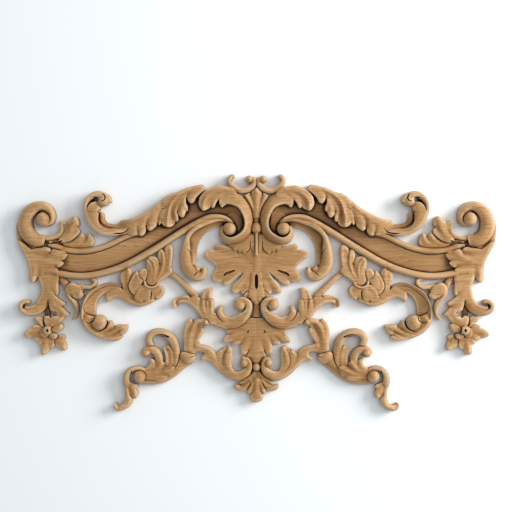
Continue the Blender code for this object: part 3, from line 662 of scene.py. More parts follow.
# %% The long arm
path = [
    (40, 112), (47, 121.5), (57, 125.5), (78, 125), (120, 103.7), (180, 66), (230, 40.8), (285, 28),
    (332, 32)
]
finger(path, (5, 5.7, 6, 6.2, 6.2, 6.2), (20, 23, 23, 23), edges=13, root=1, tip=0)
pairs = [
    ((28, 108), (24, 128)), ((47, 124), (38, 146)), ((66, 130), (62, 164)), ((95, 124), (100, 168)),
    ((130, 104), (135, 156)), ((165, 82), (170, 134)), ((200, 60), (208, 108)),
    ((240, 42), (240, 81)), ((285, 32), (285, 72)), ((332, 36), (332, 76))
]
band(pairs, (13, 13, 13, 13, 14, 15, 16, 17, 18, 18), "cove", (7, 7, 7, 7, 8, 9, 10, 11, 12, 12))
path = [(188, 101), (215, 94), (240, 81.5), (265, 72.5), (290, 69.2), (315, 70.8), (345, 82)]
finger(path, (4, 5.2, 5.4, 5.4, 5.4, 5.4), 20, edges=12, root=1, tip=0)
path = [
    (32, 108), (40, 121), (48, 127), (57, 130.5), (68, 131.7), (80, 131), (100, 122.5), (120, 111),
    (140, 98.5), (160, 85.5), (180, 74), (200, 61.5), (220, 51.5), (240, 43.5), (260, 38),
    (280, 34.5), (300, 34), (328, 38)
]
slit(path, (0.9, 1.4, 1.2, 1.1, 1.1, 1.1), 5)
path = [(192, 95), (208, 91.5), (230, 81), (250, 72), (270, 66), (290, 63.2), (318, 66)]
slit(path, (0.8, 1.1, 1.1, 1.1), 8)
carved("The long arm")

# %% [markdown]
# ## The leaves that roll over the arm
#
# A rail of folded leaf runs along the top, and its tips hang over the plain face like fingers. Each
# tip is a strip of its own, so that a deep crease forms wherever two of them meet.

# %% The leaves that roll over the arm
outline = [
    (140, 166), (155, 156), (170, 143.5), (190, 131), (210, 122.5), (226, 119), (226, 104),
    (207, 96), (199, 96), (196, 100), (194.5, 95.5), (192, 94.2), (187, 96), (183.8, 101),
    (182.7, 110.5), (180.5, 106), (177, 102.8), (171, 106), (166.5, 110.5), (164.3, 116.5),
    (161.5, 112.5), (159, 115), (150, 125), (140, 140)
]
creases = [
    ([(164, 116), (162, 124), (157, 134)], 3.4, 2, 4),
    ([(182.7, 110), (181, 120), (175, 131)], 3.4, 2, 4),
    ([(196, 99), (198, 106), (196, 114)], 2.4, 1.6, 3), ([(230, 132), (230, 60)], 10, 15, 15)
]
ribs = [
    ([(176, 104), (172, 120), (163, 140)], 1.6, 5, 6),
    ([(191, 96), (190, 108), (184, 122)], 1.3, 4, 5),
    ([(164, 142), (186, 124), (206, 110)], 1.8, 3, 3)
]
leaf(outline, 24.5, creases, ribs)
outline = [
    (84, 171.5), (88, 179), (110, 175.8), (121, 172), (131, 167.3), (143, 163.8), (152, 158.5),
    (157, 151), (156.5, 144), (150, 143), (157, 138), (160, 132), (161.5, 126.5), (159.5, 122),
    (156.5, 121), (157.5, 117), (153.5, 111.5), (147, 109), (141, 110), (136.5, 114),
    (134.8, 118.5), (131.5, 118.3), (129.7, 121.5), (130, 127), (131, 133.5), (127.5, 127.5),
    (122.5, 125), (119, 129), (117.2, 134.7), (114.5, 136), (114, 142), (117, 150), (115.8, 159),
    (112.3, 151.5), (107.5, 148), (103.5, 151), (100, 158), (92, 166)
]
creases = [
    ([(131, 134), (128, 144), (121, 155)], 3.5, 2, 5),
    ([(116, 158), (114, 164), (108, 170)], 2.6, 2, 4), ([(117.5, 136), (120, 141)], 2, 1.5, 2),
    ([(134.5, 118.5), (137, 125), (138, 134)], 2, 1.5, 3),
    ([(138.5, 114), (140, 136), (133, 151), (118, 165)], 5.5, 4.5, 5)
]
ribs = [
    ([(147.5, 110), (146, 130), (141, 148), (130, 161), (112, 171)], 3.2, 4, 2.5),
    ([(146, 130), (141, 148), (130, 161), (118, 168)], 2.6, 2, 2),
    ([(122, 126), (123, 142), (117, 156)], 1.6, 4, 5)
]
leaf(outline, 26, creases, ribs)
outline = [
    (40, 175), (52, 177), (66, 178), (78, 173), (86, 169), (92, 162), (95.6, 154), (95.5, 146),
    (92, 139.5), (88, 136.3), (82, 138.5), (77.5, 141), (76, 144), (73.5, 141), (70, 142),
    (67.5, 148), (62.5, 155), (58, 157.3), (60, 150), (59.5, 144), (57, 141.8), (53, 145),
    (47, 147.5), (40, 146.5), (34, 150), (32, 164)
]
creases = [
    ([(58, 157), (50, 163), (40, 166)], 2.6, 2, 5), ([(76, 144), (74, 152), (66, 160)], 2.8, 2, 5),
    ([(81, 141), (80, 152), (70, 163), (54, 168)], 3.2, 3.5, 4)
]
ribs = [([(88, 138), (87, 150), (81, 160), (67, 168), (48, 171.5)], 3.6, 4, 2.5)]
leaf(outline, 25, creases, ribs)
slit([(84, 171), (91, 164.5), (97, 156)], (0.6, 1.3, 1.6), 9)
pocket(
    [
        ((94, 158), (96, 150)), ((98, 157.5), (99, 146)), ((102, 153), (105, 145)),
        ((104, 150), (112, 147))
    ],
    9
)
slit([(149.5, 143.5), (153, 140.3), (157.5, 138.3)], (0.4, 0.7, 0.5), 16)
carved("The leaves that roll over the arm")

# %% [markdown]
# ## The free scroll
#
# It leaves the arm and curls up above it, with a raised margin on both sides and a hollow between
# them. A crescent is cut deep beside its eye.

# %% The free scroll
path = [(198, 112), (222, 105), (240, 106), (254, 112), (259, 122), (257, 134)]
finger(path, (12, 10, 9, 8, 7, 5), (20, 20, 18, 16, 15, 16), "pillow")
slit([(211, 108), (216.5, 102), (223, 99), (238, 98.5)], (0.4, 1.4, 1.7, 0.4), 11)
pairs = [
    ((205, 114), (206, 101)), ((222, 107), (222, 97)), ((236, 107), (240, 94.7)),
    ((247, 108), (256, 97)), ((256, 112), (269, 104.5)), ((261.5, 120), (279.5, 117.5)),
    ((262, 130), (285, 131)), ((259, 140), (286.5, 141)), ((261, 149), (283, 155)),
    ((270, 150), (270, 167))
]
band(pairs, (20, 22, 24, 25, 27, 28, 28, 28, 27, 25), "roll")
pairs = [
    ((281.5, 136), (286.5, 138)), ((280.5, 148), (284.5, 152)), ((275, 156), (278, 162)),
    ((267, 159.5), (268, 168)), ((259, 157.5), (257, 168.5)), ((252.5, 153), (243, 161)),
    ((250, 149), (240.5, 151))
]
band(pairs, (28, 30, 31, 31, 31, 30, 29))
eye(253.5, 153.5, 10, 33, 22)
slit(
    [(255, 165), (251.5, 162), (250, 157), (252.5, 153), (257, 152.5)], (0.5, 1.2, 1.3, 1.0, 0.5),
    14
)
pairs = [
    ((260.5, 157), (262, 150)), ((266.5, 158.8), (267, 149.5)), ((272.5, 157.3), (272, 148.5)),
    ((277.5, 152), (276, 145.5)), ((280.7, 146), (279, 141)), ((281.8, 137), (281, 136.5))
]
pocket(pairs, 9)
slit([(257, 140.5), (261, 136.5), (263, 134), (259, 131.5)], (0.5, 0.9, 0.9, 0.6), 14)
slit(
    [(260.5, 130), (261.8, 124), (260.5, 117), (256.5, 111), (248, 107.3), (238, 106.5)],
    (0.7, 0.9, 0.8, 0.7, 0.6, 0.4), 15
)
carved("The free scroll")

# %% [markdown]
# ## The sprig in the corner
#
# Three upright lobes fill the corner between the arm and the end volute.

# %% The sprig in the corner
finger([(280, 80), (300, 81), (322, 83), (352, 90)], (5, 6, 6, 6), 13, root=1)
outline = [
    (273, 78), (269.5, 84), (271, 91), (273.5, 96.5), (277, 99.3), (281, 96), (283.2, 91.5),
    (286, 96), (289.5, 99), (293.5, 97), (299, 91), (306, 86), (314, 83), (322, 82), (318, 77.5),
    (300, 75), (286, 75)
]
ribs = [([(277, 98), (281, 86), (294, 80)], 2, 4, 4), ([(290, 97), (296, 87), (308, 81)], 2, 4, 4)]
leaf(outline, 17, [([(283, 91), (289, 84), (300, 79)], 2, 2.5, 4)], ribs, 3, 4)
outline = [
    (330, 84), (317, 83.5), (309, 86), (302, 91), (296.5, 96), (293, 101), (294.5, 106),
    (297.5, 109.3), (294, 112.5), (294.5, 119), (297, 125), (301, 127.3), (306, 124.8),
    (311, 120.5), (315.3, 116), (316.5, 108), (319, 100), (325, 93)
]
creases = [
    ([(297.5, 109.5), (303, 101), (313, 92)], 2.5, 3, 5),
    ([(315.3, 114), (314, 102), (320, 92)], 1.5, 3, 4)
]
leaf(outline, 21, creases, [([(302, 125), (305, 110), (315, 94), (324, 87)], 3, 6, 5)], 3, 4)
outline = [
    (312, 92), (314, 105), (315.3, 116.5), (318.5, 118.3), (322, 120.3), (326.3, 119), (325.8, 112),
    (325, 107), (327.5, 101), (333, 96.5), (342, 94), (352, 94), (358, 97), (362, 90), (352, 87.5),
    (340, 88), (330, 90), (322, 88)
]
leaf(outline, 19, [([(321, 112), (320, 100), (328, 91), (344, 90)], 2, 3, 3)], (), 3, 4)
pairs = [
    ((320, 90), (326, 81)), ((330, 87.5), (334, 79)), ((341, 85.5), (343, 79)),
    ((353, 84.5), (353, 78))
]
pocket(pairs, 12)
carved("The sprig in the corner")

# %% [markdown]
# ## The end volute
#
# It stands on the end of the arm and turns inwards to a large round eye. The upright that carries
# it has a flat outer margin.

# %% The end volute
pairs = [
    ((377, 34), (345, 34)), ((379, 47), (345, 50)), ((385, 61), (346, 66)), ((393, 77), (352, 84)),
    ((399, 98), (386, 104)), ((399, 112), (389, 115)), ((392.5, 132), (384, 128))
]
band(pairs, (17, 18, 18, 17, 15, 14, 14), "keel", 12)
pairs = [
    ((353, 78), (350, 95)), ((368, 75.5), (361, 97)), ((385, 85), (369.5, 105)),
    ((395, 101), (372, 117)), ((396, 121), (369.5, 126)), ((387, 140), (362, 134)),
    ((370, 151), (356, 136.5)), ((352, 151.5), (350, 134)), ((338.5, 142), (345, 128)),
    ((333.5, 127), (344, 121)), ((337.5, 115), (347, 115)), ((346, 110), (352, 114))
]
band(pairs, (22, 25, 27, 28, 29, 29, 29, 28, 27, 26, 25, 24), "bead", 15)
eye(354, 122, 12, 35, 19)
path = [
    (346.5, 129.5), (348.5, 133.5), (353, 136), (358, 136), (363.5, 133), (367.5, 127.5), (371, 119)
]
slit(path, (0.6, 1.0, 1.1, 1.4, 1.5, 1.0), 10)
path = [(396, 120), (397, 111), (395.5, 101), (391.5, 92.5), (385.5, 85), (377.5, 78.5)]
slit(path, (0.4, 0.6, 0.6, 0.6, 0.4), 12)
slit([(398.5, 93), (395.5, 89)], (0.7, 0.7), 9)
slit([(352, 83), (352, 79), (355, 75.5), (365, 74.5), (376, 72.5)], (0.8, 1.0, 1.0, 1.0, 0.8), 9)
carved("The end volute")

# %% [markdown]
# ## The leaf over the end of the arm
#
# Its blunt lobes point inwards and lie over the moulding, so the moulding seems to come out from
# under it.

# %% The leaf over the end of the arm
outline = [
    (397, 88), (393, 77), (388, 67.5), (383, 58.5), (379, 48.5), (377.2, 36), (377, 22), (372, 16),
    (367, 20), (363.5, 27), (361, 21), (357, 12), (346, 12), (339.5, 16), (337.2, 27.5),
    (334, 24.5), (331, 23.3), (328.3, 27), (328, 35), (330.5, 40), (334.5, 43.7), (329, 42.2),
    (324, 44.3), (320.5, 48), (320.8, 51), (324.3, 53.3), (320.5, 54.5), (316.5, 58.5), (314, 64),
    (319, 69.5), (328, 70.3), (333, 72), (338.5, 71.3), (344, 65.3), (341.5, 70.5), (344.5, 74.5),
    (353, 76), (366, 75), (376, 74), (386, 82)
]
creases = [
    ([(344, 65), (356, 62), (372, 64)], 2.5, 3, 7),
    ([(324, 53.5), (336, 55), (352, 60)], 1.6, 3, 6),
    ([(334, 43.7), (350, 44.2), (368, 47)], 2.6, 3, 6), ([(337, 28), (350, 31.5)], 1.8, 3, 4),
    ([(363.5, 26), (362, 36), (364, 50)], 1.8, 3, 5)
]
ribs = [
    ([(330, 68), (342, 60), (352, 54), (362, 50)], 3, 6, 5),
    ([(330, 34), (342, 37), (358, 38)], 2.2, 6, 5), ([(371, 18), (370, 32), (368, 46)], 2, 4, 5),
    ([(346, 71), (364, 69), (382, 72)], 2, 4, 5)
]
leaf(outline, 21.3, creases, ribs, 3)
slit([(349, 32.3), (350.8, 30.8)], (1.0, 1.0), 10)
carved("The leaf over the end of the arm")

# %% [markdown]
# ## The drop
#
# A stem hangs from the end leaf and parts into two leaves. The outer one ends in a small curl.

# %% The drop
outline = [
    (329, 30), (328, 24), (329.3, 16), (328.5, 6), (329, -1), (331.5, -5), (335.5, -0.5),
    (333, -5.5), (328, -10), (322, -14), (317.5, -17.3), (318.3, -21), (322.8, -22.8), (319.5, -27),
    (315, -31.5), (310.3, -36), (314, -38.7), (322, -40.5), (330, -39), (333.3, -34.3),
    (337, -31.5), (341, -30.5), (344, -22), (346, -13), (350, -19), (357, -24), (366, -22),
    (364.5, -15.5), (359.5, -7), (357.3, 4), (357, 16), (359, 24), (358, 32)
]
creases = [
    ([(335.5, -0.5), (340, 3), (343, 12)], 1.5, 2.5, 4),
    ([(322.8, -22.8), (331, -20), (340, -8)], 1.5, 3, 4)
]
ribs = [([(315, -36), (328, -28), (338, -14), (343, 8)], 2, 5, 6)]
leaf(outline, 20.8, creases, ribs, 3, 4)
path = [
    (350, 2), (353, -13), (360, -24), (371, -30.5), (381, -33), (389.5, -28), (390.5, -20),
    (384, -14.5), (376, -16)
]
widths = (9, 9.5, 9.5, 9.5, 7.5, 4.5, 3.8, 3.6, 3)
finger(path, widths, (19, 19, 20, 22, 24, 26, 27, 26, 24))
finger([(362, -22), (374, -26), (384, -25)], (5, 4.5, 2.5), (20, 23, 24))
slit([(346.5, -12), (345.5, -24), (344, -38)], (0.5, 1.3, 1.8), 7)
slit([(340.5, -30), (341.5, -36), (341.5, -42)], (1.5, 3.2, 3.6), -4)
slit(
    [(379.5, -24), (381.5, -20.5), (385.5, -19.5), (387.5, -23.5), (386, -28)],
    (0.5, 0.9, 1.0, 1.0, 0.5), 12
)
slit([(331.5, -6), (335, -2)], (0.9, 0.6), 9)
slit([(319, -24.5), (325, -22.5)], (0.9, 0.6), 9)
slit([(331, -35.5), (334.5, -30)], (0.9, 0.6), 9)
carved("The drop")

# %% [markdown]
# ## The hanging flower
#
# A small flower seen from the side, with a round tube at its heart, hangs from the drop on three
# leaves.

# %% The hanging flower
finger([(348, -6), (348.5, -26), (347, -46)], (4, 5.5, 5), 9, tip=0)
leaves = [
    (
        [
            (355, -66), (357, -57.5), (362, -54), (368, -53.3), (372.5, -55.5), (372.8, -59.3),
            (377, -60), (382.5, -63.5), (386.6, -69), (384, -73.7), (377.5, -76), (372.7, -73.5),
            (370.5, -78), (365, -80.2), (360, -78), (356, -73)
        ],
        [([(372.7, -73.5), (364, -69), (357, -66)], 1.5, 3, 3)],
        [(384, -68), (370, -66), (358, -66)], 17.5
    ),
    (
        [
            (336, -76), (344, -74), (353, -73), (359, -73), (361.5, -79), (362.6, -85),
            (358.7, -87.6), (358, -93), (358.5, -99.5), (355, -103.7), (350, -103.2), (346, -98.5),
            (343.7, -93.5), (340, -93.2), (336, -89), (334.8, -83)
        ],
        [([(358.7, -87.6), (355, -80)], 1.5, 3, 3), ([(343.7, -93.5), (345, -84)], 1.5, 3, 3)],
        [(354, -101), (351, -88), (350, -76)], 17
    ),
    (
        [
            (335.5, -76), (330, -73.5), (326.5, -69.8), (321, -70.5), (317.3, -74.3),
            (319.8, -79.3), (316.8, -84), (315.4, -92), (317.5, -96.3), (322, -96.2), (327, -93),
            (333, -89.3), (335.4, -82)
        ],
        [([(319.8, -79.3), (326, -79)], 1.5, 2, 3)], [(319, -94), (325, -84), (331, -76)], 15.5
    ),
    (
        [
            (353, -58), (355, -50), (354.5, -42.5), (357, -40.3), (362, -39.7), (369.3, -42),
            (368, -46.5), (362.5, -51.5), (357, -56)
        ],
        [([(365, -49), (358, -50)], 1.2, 2, 3)], [(366, -43), (360, -50), (354, -57)], 18
    )
]
for outline, creases, vein, crest in leaves:
    leaf(outline, crest, creases, [(vein, 2, 3.5, 4)], 2.5, 3.5)
petals = [
    (
        [
            (343, -60), (336, -55.5), (328, -51.5), (322, -46.5), (318, -39.5), (326, -38.5),
            (336, -39), (345, -38.5), (351.8, -39.8), (352.3, -48), (350, -55)
        ],
        [(333, -42), (340, -50)], 21
    ),
    (
        [
            (342, -61), (338, -56), (331, -52), (325.5, -51.2), (321.3, -53.5), (321, -58),
            (323.5, -62.5), (328.5, -65.8), (335, -65.8), (341, -65)
        ],
        [(326, -58), (336, -61)], 20
    ),
    (
        [
            (344, -68), (337, -67.5), (330.7, -69.8), (331, -74), (333.8, -77), (339, -77.5),
            (345, -73.5)
        ],
        [(335, -73), (342, -70)], 20
    ),
    (
        [
            (348, -58), (353, -57.5), (357.5, -61), (359.3, -67), (357, -73), (351, -75.3),
            (345, -72), (344, -65)
        ],
        [(354, -69), (349, -65)], 21
    )
]
for outline, vein, crest in petals:
    leaf(outline, crest, (), [(vein, 2, 5, 4)], 3, 3.5)
eye(346, -62.5, 7.4, 28.5, 25.5)
slit([(346, -59.6), (346, -62.5), (346, -65.4)], (1.3, 2.5, 1.3), 12)
slit([(352.6, -39), (353.4, -46), (352, -51), (349, -55)], (0.9, 1.2, 0.9, 0.4), 8)
slit([(336.5, -56.5), (339.5, -58.5), (339.5, -63), (338, -66.5)], (0.6, 1.0, 1.2, 0.9), 11)
slit([(341.5, -68), (345, -72), (349, -75)], (0.5, 1.0, 0.5), 11)
slit([(328.5, -68.5), (329.5, -74), (333.5, -78)], (1.0, 1.2, 0.8), 8)
slit([(336.2, -77), (335.3, -84), (334, -90)], (0.7, 1.0, 0.9), 6)
carved("The hanging flower")

# %% [markdown]
# ## The scroll towards the palmette
#
# It leaves the arm, swings down and curls up in a small eye. A ridge runs along its middle.

# %% The scroll towards the palmette
pairs = [
    ((46, 106), (50, 121)), ((57, 111), (60, 122)), ((71, 107), (78, 117)),
    ((83.5, 100), (94, 109.5)), ((92.5, 89), (105.5, 101)), ((98, 76), (111.5, 89)),
    ((99.5, 64), (111.5, 74)), ((101, 54), (110.5, 60)), ((102, 45), (110, 50))
]
band(pairs, (16, 17, 17, 17, 17, 17, 17, 18, 20), "cove", (10, 10, 10, 9, 8, 8, 9, 12, 16))
pairs = [
    ((50, 117), (53, 126)), ((60, 119), (62, 124.5)), ((78, 114), (82, 121)),
    ((92, 108), (98, 115)), ((104, 100), (111, 104)), ((110.5, 90), (119.5, 90)),
    ((110, 78), (125, 73)), ((109, 62), (127, 57)), ((107, 50), (125.5, 42)),
    ((103, 42), (115, 26.5)), ((99, 37), (101, 18.8)), ((94, 35), (88, 21.5)),
    ((90, 38), (82.5, 32.5)), ((90, 41), (84, 43))
]
band(pairs, (18, 20, 22, 23, 25, 25, 25, 26, 26, 26, 26, 25, 24, 23), "pillow", drop=0.7)
eye(99, 38, 7, 22, 14)
slit([(114.5, 73), (110.5, 68.5), (109, 61.5)], (0.5, 1.0, 0.7), 13)
slit([(97.5, 35.5), (100, 31.5), (103.5, 29)], (0.5, 1.2, 0.6), 13)
carved("The scroll towards the palmette")

# %% [markdown]
# ## The palmette
#
# The spreading leaf at the centre is broad and shallow, and slits and notches part its lobes. A
# small sheet raises its tip, and a stem with a collar carries it.

# %% The palmette
finger([(0, 72), (0, 40), (0, -20)], (17, 20, 9), (17, 17, 17), edges=(9, 10, 9))
outline = [
    (-2, 96), (-2, -19), (1, -20), (6, -15), (11.5, -9), (14.5, -7.8), (18, -8), (22, -4.5),
    (23.5, -1.5), (28.5, 0.8), (33, -0.8), (38, -1.3), (41.3, 0), (42.3, 5), (39.5, 11), (34, 18.5),
    (28, 25), (24, 31), (30, 27.5), (37, 21), (44, 15), (49, 12.2), (53.5, 12), (57, 18),
    (63, 17.3), (70, 18.5), (74.3, 22.5), (73.5, 29), (69, 36), (66.5, 42), (70, 47), (77, 52.5),
    (83.5, 57.5), (86.6, 63), (83, 68.5), (76, 71.8), (68, 71), (69, 76.5), (66, 81), (58, 80),
    (50, 77.5), (43, 77.3), (30, 84), (18, 94)
]
creases = [
    ([(68, 71), (50, 68), (28, 60)], 1.8, 3, 6), ([(66, 42), (48, 44), (26, 46)], 1.6, 4, 7),
    ([(23, 69), (20, 60), (8, 50)], 1.5, 3, 5), ([(32, 70), (28, 60), (12, 48)], 1.2, 3, 5),
    ([(57, 18), (46, 28), (28, 40)], 1.4, 3, 5), ([(28, 1), (20, 16), (12, 34)], 1.5, 3, 6),
    ([(12, -9), (9, 8), (7, 30)], 1.5, 3, 5), ([(80, 66), (60, 64), (36, 58)], 0.9, 2.5, 4)
]
ribs = [
    ([(66, 79), (48, 73), (24, 64)], 1.4, 4, 6), ([(84, 62), (60, 57), (30, 52)], 1.6, 5, 8),
    ([(72, 24), (50, 34), (26, 44)], 1.6, 5, 8), ([(38, 2), (26, 18), (12, 38)], 1.8, 5, 8)
]
leaf(outline, 16.5, creases, ribs, 3, 6)
outline = [
    (-2, 96), (-2, 66), (5, 66), (9.6, 74), (11, 69.5), (15.4, 66.4), (20, 64.2), (23, 64.8),
    (25.2, 68.6), (27.5, 66.6), (30, 67.2), (31.4, 70.6), (34.5, 68.8), (38, 70.5), (41.5, 75.5),
    (46, 79), (46, 90), (20, 98)
]
leaf(outline, 19.5, (), [([(36, 72), (24, 76), (14, 86)], 1.2, 5, 5)], 4, 4)
finger([(0, 0), (0, -24), (0, -44)], (5.2, 5.2, 10.5), (13.5, 13.5, 14.5), tip=0)
outline = [
    (-2, 34), (-2, -19.6), (0, -20), (2.6, -17.2), (3.4, -14.2), (6, -15), (8.6, -12.6),
    (8.8, -9.6), (11.6, -9.2), (13.6, -5.6), (12.6, 3), (9.6, 16), (8, 34)
]
leaf(outline, 18.4, [([(0, -19), (0, -8), (0, 3)], 1.1, 2.5, 4)], (), 2.5, 3)
slit([(-1.5, -41.6), (4, -41.4), (11, -40.6)], (1.6, 1.6, 1.2), 8)
slit([(0, 31), (0, 27.5), (0, 10), (0, 6)], (3.4, 5, 5, 3.4), 11)
slit([(10.5, 86), (10, 78), (12, 71.5), (17.5, 66)], (0.8, 1.0, 1.0, 0.7), 6)
slit([(22, 34.5), (27, 26.5), (35, 19.5), (44, 13.5)], (0.7, 1.7, 2.0, 1.6), -4)
slit([(35, 37.5), (44, 34), (51, 31.5), (54.5, 27.5)], (1.8, 3.4, 3.6, 2.2), 12)
slit([(58, 17), (54.5, 20)], (1.2, 0.6), 5)
slit([(14, 5), (18, 0.5), (22, -4)], (0.6, 1.1, 1.0), 5)
slit([(26, 3.5), (29, -1)], (0.6, 1.3), 5)
slit([(10, -7.5), (12.5, -12)], (0.6, 1.2), 5)
carved("The palmette")

# %% [markdown]
# ## The leaf under the arm
#
# Three lobes stand up from a ring-shaped collar, and a thin stem carries it.

# %% The leaf under the arm
path = [(150, 36), (135, 26.5), (117, 10), (98, -10)]
finger(path, (5, 4.8, 5.3, 7), (15, 16, 16, 18))
outline = [
    (139.5, 34), (140.8, 45), (139.5, 57), (138.7, 70), (139.8, 77), (145, 79.3), (149.5, 77.5),
    (152, 74.5), (153.6, 69.5), (157, 71.8), (161, 70.5), (163.8, 65), (163, 57), (160.6, 48),
    (162.8, 54), (166.5, 59), (172.5, 60.3), (178.5, 60), (182, 56), (183, 50), (182, 41),
    (180.8, 33), (182.3, 24), (182.6, 18), (180, 13), (175, 10.5), (168, 12), (160, 18), (152, 24),
    (144.5, 29.5)
]
creases = [
    ([(153.6, 69.5), (151.3, 60), (151.8, 45), (158, 29)], 2, 1.5, 3.5),
    ([(160.6, 48), (162, 39), (166, 26)], 2.8, 2, 4.5),
    ([(146.5, 66), (147, 50), (152, 36)], 1.2, 3.5, 5)
]
ribs = [
    ([(155.5, 66), (154.8, 48), (158.6, 35), (168, 20)], 2.2, 1.7, 1.7),
    ([(177.5, 57), (171.3, 50), (168.8, 38), (170.3, 22)], 2.8, 1.6, 1.6),
    ([(181, 53), (175.5, 44), (173.5, 30)], 2, 1.8, 1.5),
    ([(142, 74), (143, 55), (145, 40)], 1.2, 3, 3)
]
leaf(outline, 21, creases, ribs, 4, 3.5)
path = [(161.5, 18.5), (165.5, 12), (172, 8.8), (179, 9.2), (184, 13), (185.5, 20)]
finger(path, 1.9, (21, 24, 25, 25, 23), root=1)
slit([(166, 14.2), (171, 11.8), (176.5, 12), (180, 15), (181, 18)], (0.5, 0.9, 1.0, 0.9, 0.5), 11)
slit([(140.5, 45), (144, 42)], (0.9, 0.5), 12)
carved("The leaf under the arm")

# %% [markdown]
# ## The rosette and its sepal
#
# The rosette is seen from the side, as a heap of round petals with dark notches between them. A
# long sepal passes under it and ends in a hook.

# %% The rosette and its sepal
petals = [
    (
        [
            (178, 8), (168, 10.5), (160, 11.5), (155.5, 9.5), (153, 4), (154, -2), (157, -7),
            (162, -11), (166, -11.5), (168.5, -8.5), (172, -12), (177, -13)
        ],
        [(159, 5), (164, 0)], 21
    ),
    (
        [
            (186, 18), (182, 27), (181, 33), (182, 38.5), (186, 40.3), (190.5, 39), (194, 35),
            (196, 30), (193, 24)
        ],
        [(186, 36), (188, 26)], 22
    ),
    (
        [
            (188, 20), (193, 26), (195.5, 31), (198, 36.5), (203, 32), (208, 24.5), (212.5, 16),
            (213, 9), (210, 2), (206, -3.5), (201.5, -5), (199.5, 0), (194, 6)
        ],
        [(201, 27), (206, 14), (204, 4)], 22
    ),
    (
        [
            (176, -13), (175, 0), (176, 8), (184, 13), (192, 12), (199, 6), (202, -2), (203.5, -9),
            (200, -13.5), (194, -16.3), (189, -16.6), (187.5, -13.3), (184, -15.8), (180, -15.5)
        ],
        [(186, 4), (194, -3), (193, -11)], 23
    )
]
for outline, lump, crest in petals:
    leaf(outline, crest, [(lump, 1.2, 3, 3)], (), 4, 3)
outline = [
    (163, -10), (172, -16), (183, -21), (192, -23), (203, -21.5), (214, -17), (224, -10.5),
    (231, -8), (238, -9), (243, -12), (247.6, -16), (250, -12), (250.5, -5), (248.5, 1), (244, 3.5),
    (238, 7.3), (232, 10), (226.5, 9.6), (222, 5.5), (222.5, 12), (226, 20), (227, 28), (224, 34),
    (218, 39.5), (212.5, 42.3), (208, 38), (206.5, 30), (209, 20), (211, 10), (206, 0), (200, -6),
    (190, -12), (176, -9)
]
creases = [
    ([(219, 4), (218, 14), (219, 26)], 1.2, 2, 3), ([(206, -10), (218, -3), (230, 2)], 1.2, 3, 3)
]
ribs = [
    ([(174, -14), (192, -17.5), (208, -13), (222, -3)], 3, 5, 5),
    ([(213, 39), (213.5, 24), (214.5, 8)], 1.8, 3, 2.5)
]
leaf(outline, 18, creases, ribs, 4, 4)
slit([(174, 2.5), (174.5, -5), (175.5, -12)], (1.1, 1.3, 1.0), 8)
slit([(166.5, -12), (169.5, -9)], (0.7, 0.7), 9)
slit([(186.5, 20.5), (190, 23.5), (194.5, 27.5)], (0.5, 0.9, 0.5), 13)
slit([(187.4, 9), (188.6, 9)], (1.0, 1.0), 13)
slit([(187.4, -14), (188.6, -14)], (1.0, 1.0), 13)
slit([(222, 5), (224.5, 8), (228, 10.8)], (0.5, 0.9, 0.8), 9)
slit([(206, 28), (212, 17), (213, 9), (208.5, 0), (201.5, -5)], (0.6, 1.0, 1.1, 1.1, 0.6), 9)
carved("The rosette and its sepal")

# %% [markdown]
# ## The lower scroll
#
# A large C-shaped scroll with a thin raised rim, a hollow face, a big eye and a small knob beside
# it.

# %% The lower scroll
pairs = [
    ((225, 12), (224, 2)), ((239, 17), (240, 3)), ((252, 16), (252, -1)), ((266, 9.5), (259, -7)),
    ((280, -1), (265, -17)), ((288, -17), (267, -29)), ((291, -33), (267, -38)),
    ((290, -44), (268, -45))
]
band(pairs, (20, 23, 25, 26, 27, 28, 29, 28), "rim", drop=1.2)
outline = [
    (284.5, -29), (290.8, -31), (291.5, -42), (289.5, -50.5), (284, -59.5), (277, -66.5),
    (268, -72), (258, -76), (248, -78.8), (238, -80), (230, -79.8), (226, -77.5), (222.3, -73.3),
    (226.3, -70.8), (219, -68.5), (215.3, -64), (213.4, -58), (213.4, -54), (221, -53.6),
    (229, -52.6), (235.5, -56.5), (238, -52), (240, -48.5), (242.5, -46), (245, -49.5),
    (247.5, -55), (252, -59), (262, -60), (267, -52), (267.5, -39.5), (277, -37), (283.5, -34)
]
creases = [
    ([(228, -65), (236, -69.5), (244, -73.5), (258, -76)], 3.2, 1.9, 2),
    ([(235.5, -56.5), (243, -62.5), (252, -66.5), (262, -68.5)], 3.4, 2.2, 2),
    ([(226.3, -70.8), (234, -74)], 2.5, 1.6, 2)
]
ribs = [
    ([(279, -40), (285, -50), (276, -62), (260, -71)], 6, 7, 5),
    ([(222, -58), (236, -64), (250, -70)], 2.4, 3, 3),
    ([(242.5, -50), (247, -59), (256, -65)], 3.4, 2.5, 2.5)
]
leaf(outline, 21.5, creases, ribs, 4, 4)
eye(261, -50, 13, 33, 19)
path = [
    (229, 11.8), (240, 11.2), (250, 10.6), (258, 7.2), (266, 2), (273, -4), (280, -12), (285, -20),
    (286, -27), (283, -33)
]
slit(
    [*path, (277, -36.5), (269, -39)], (0.3, 0.5, 0.6, 0.7, 0.7, 0.7, 0.7, 0.7, 0.7, 0.8, 0.9, 0.9),
    14
)
slit(
    [(248.5, -45), (247.9, -51), (249.8, -56.8), (254, -61), (260, -64), (269, -65)],
    (0.5, 1.3, 1.5, 1.3, 1.0, 0.3), 9
)
slit(
    [(268, -37), (267.5, -42), (269.5, -46), (273, -49), (278, -50.4), (283.5, -47.5)],
    (0.7, 1.1, 1.2, 1.1, 0.9, 0.4), 12
)
slit([(222, 5), (225, 8.5), (229, 11.5)], (0.9, 0.9, 0.4), 9)
slit([(232, -53), (236.5, -57.5)], (1.0, 0.4), 8)
carved("The lower scroll")

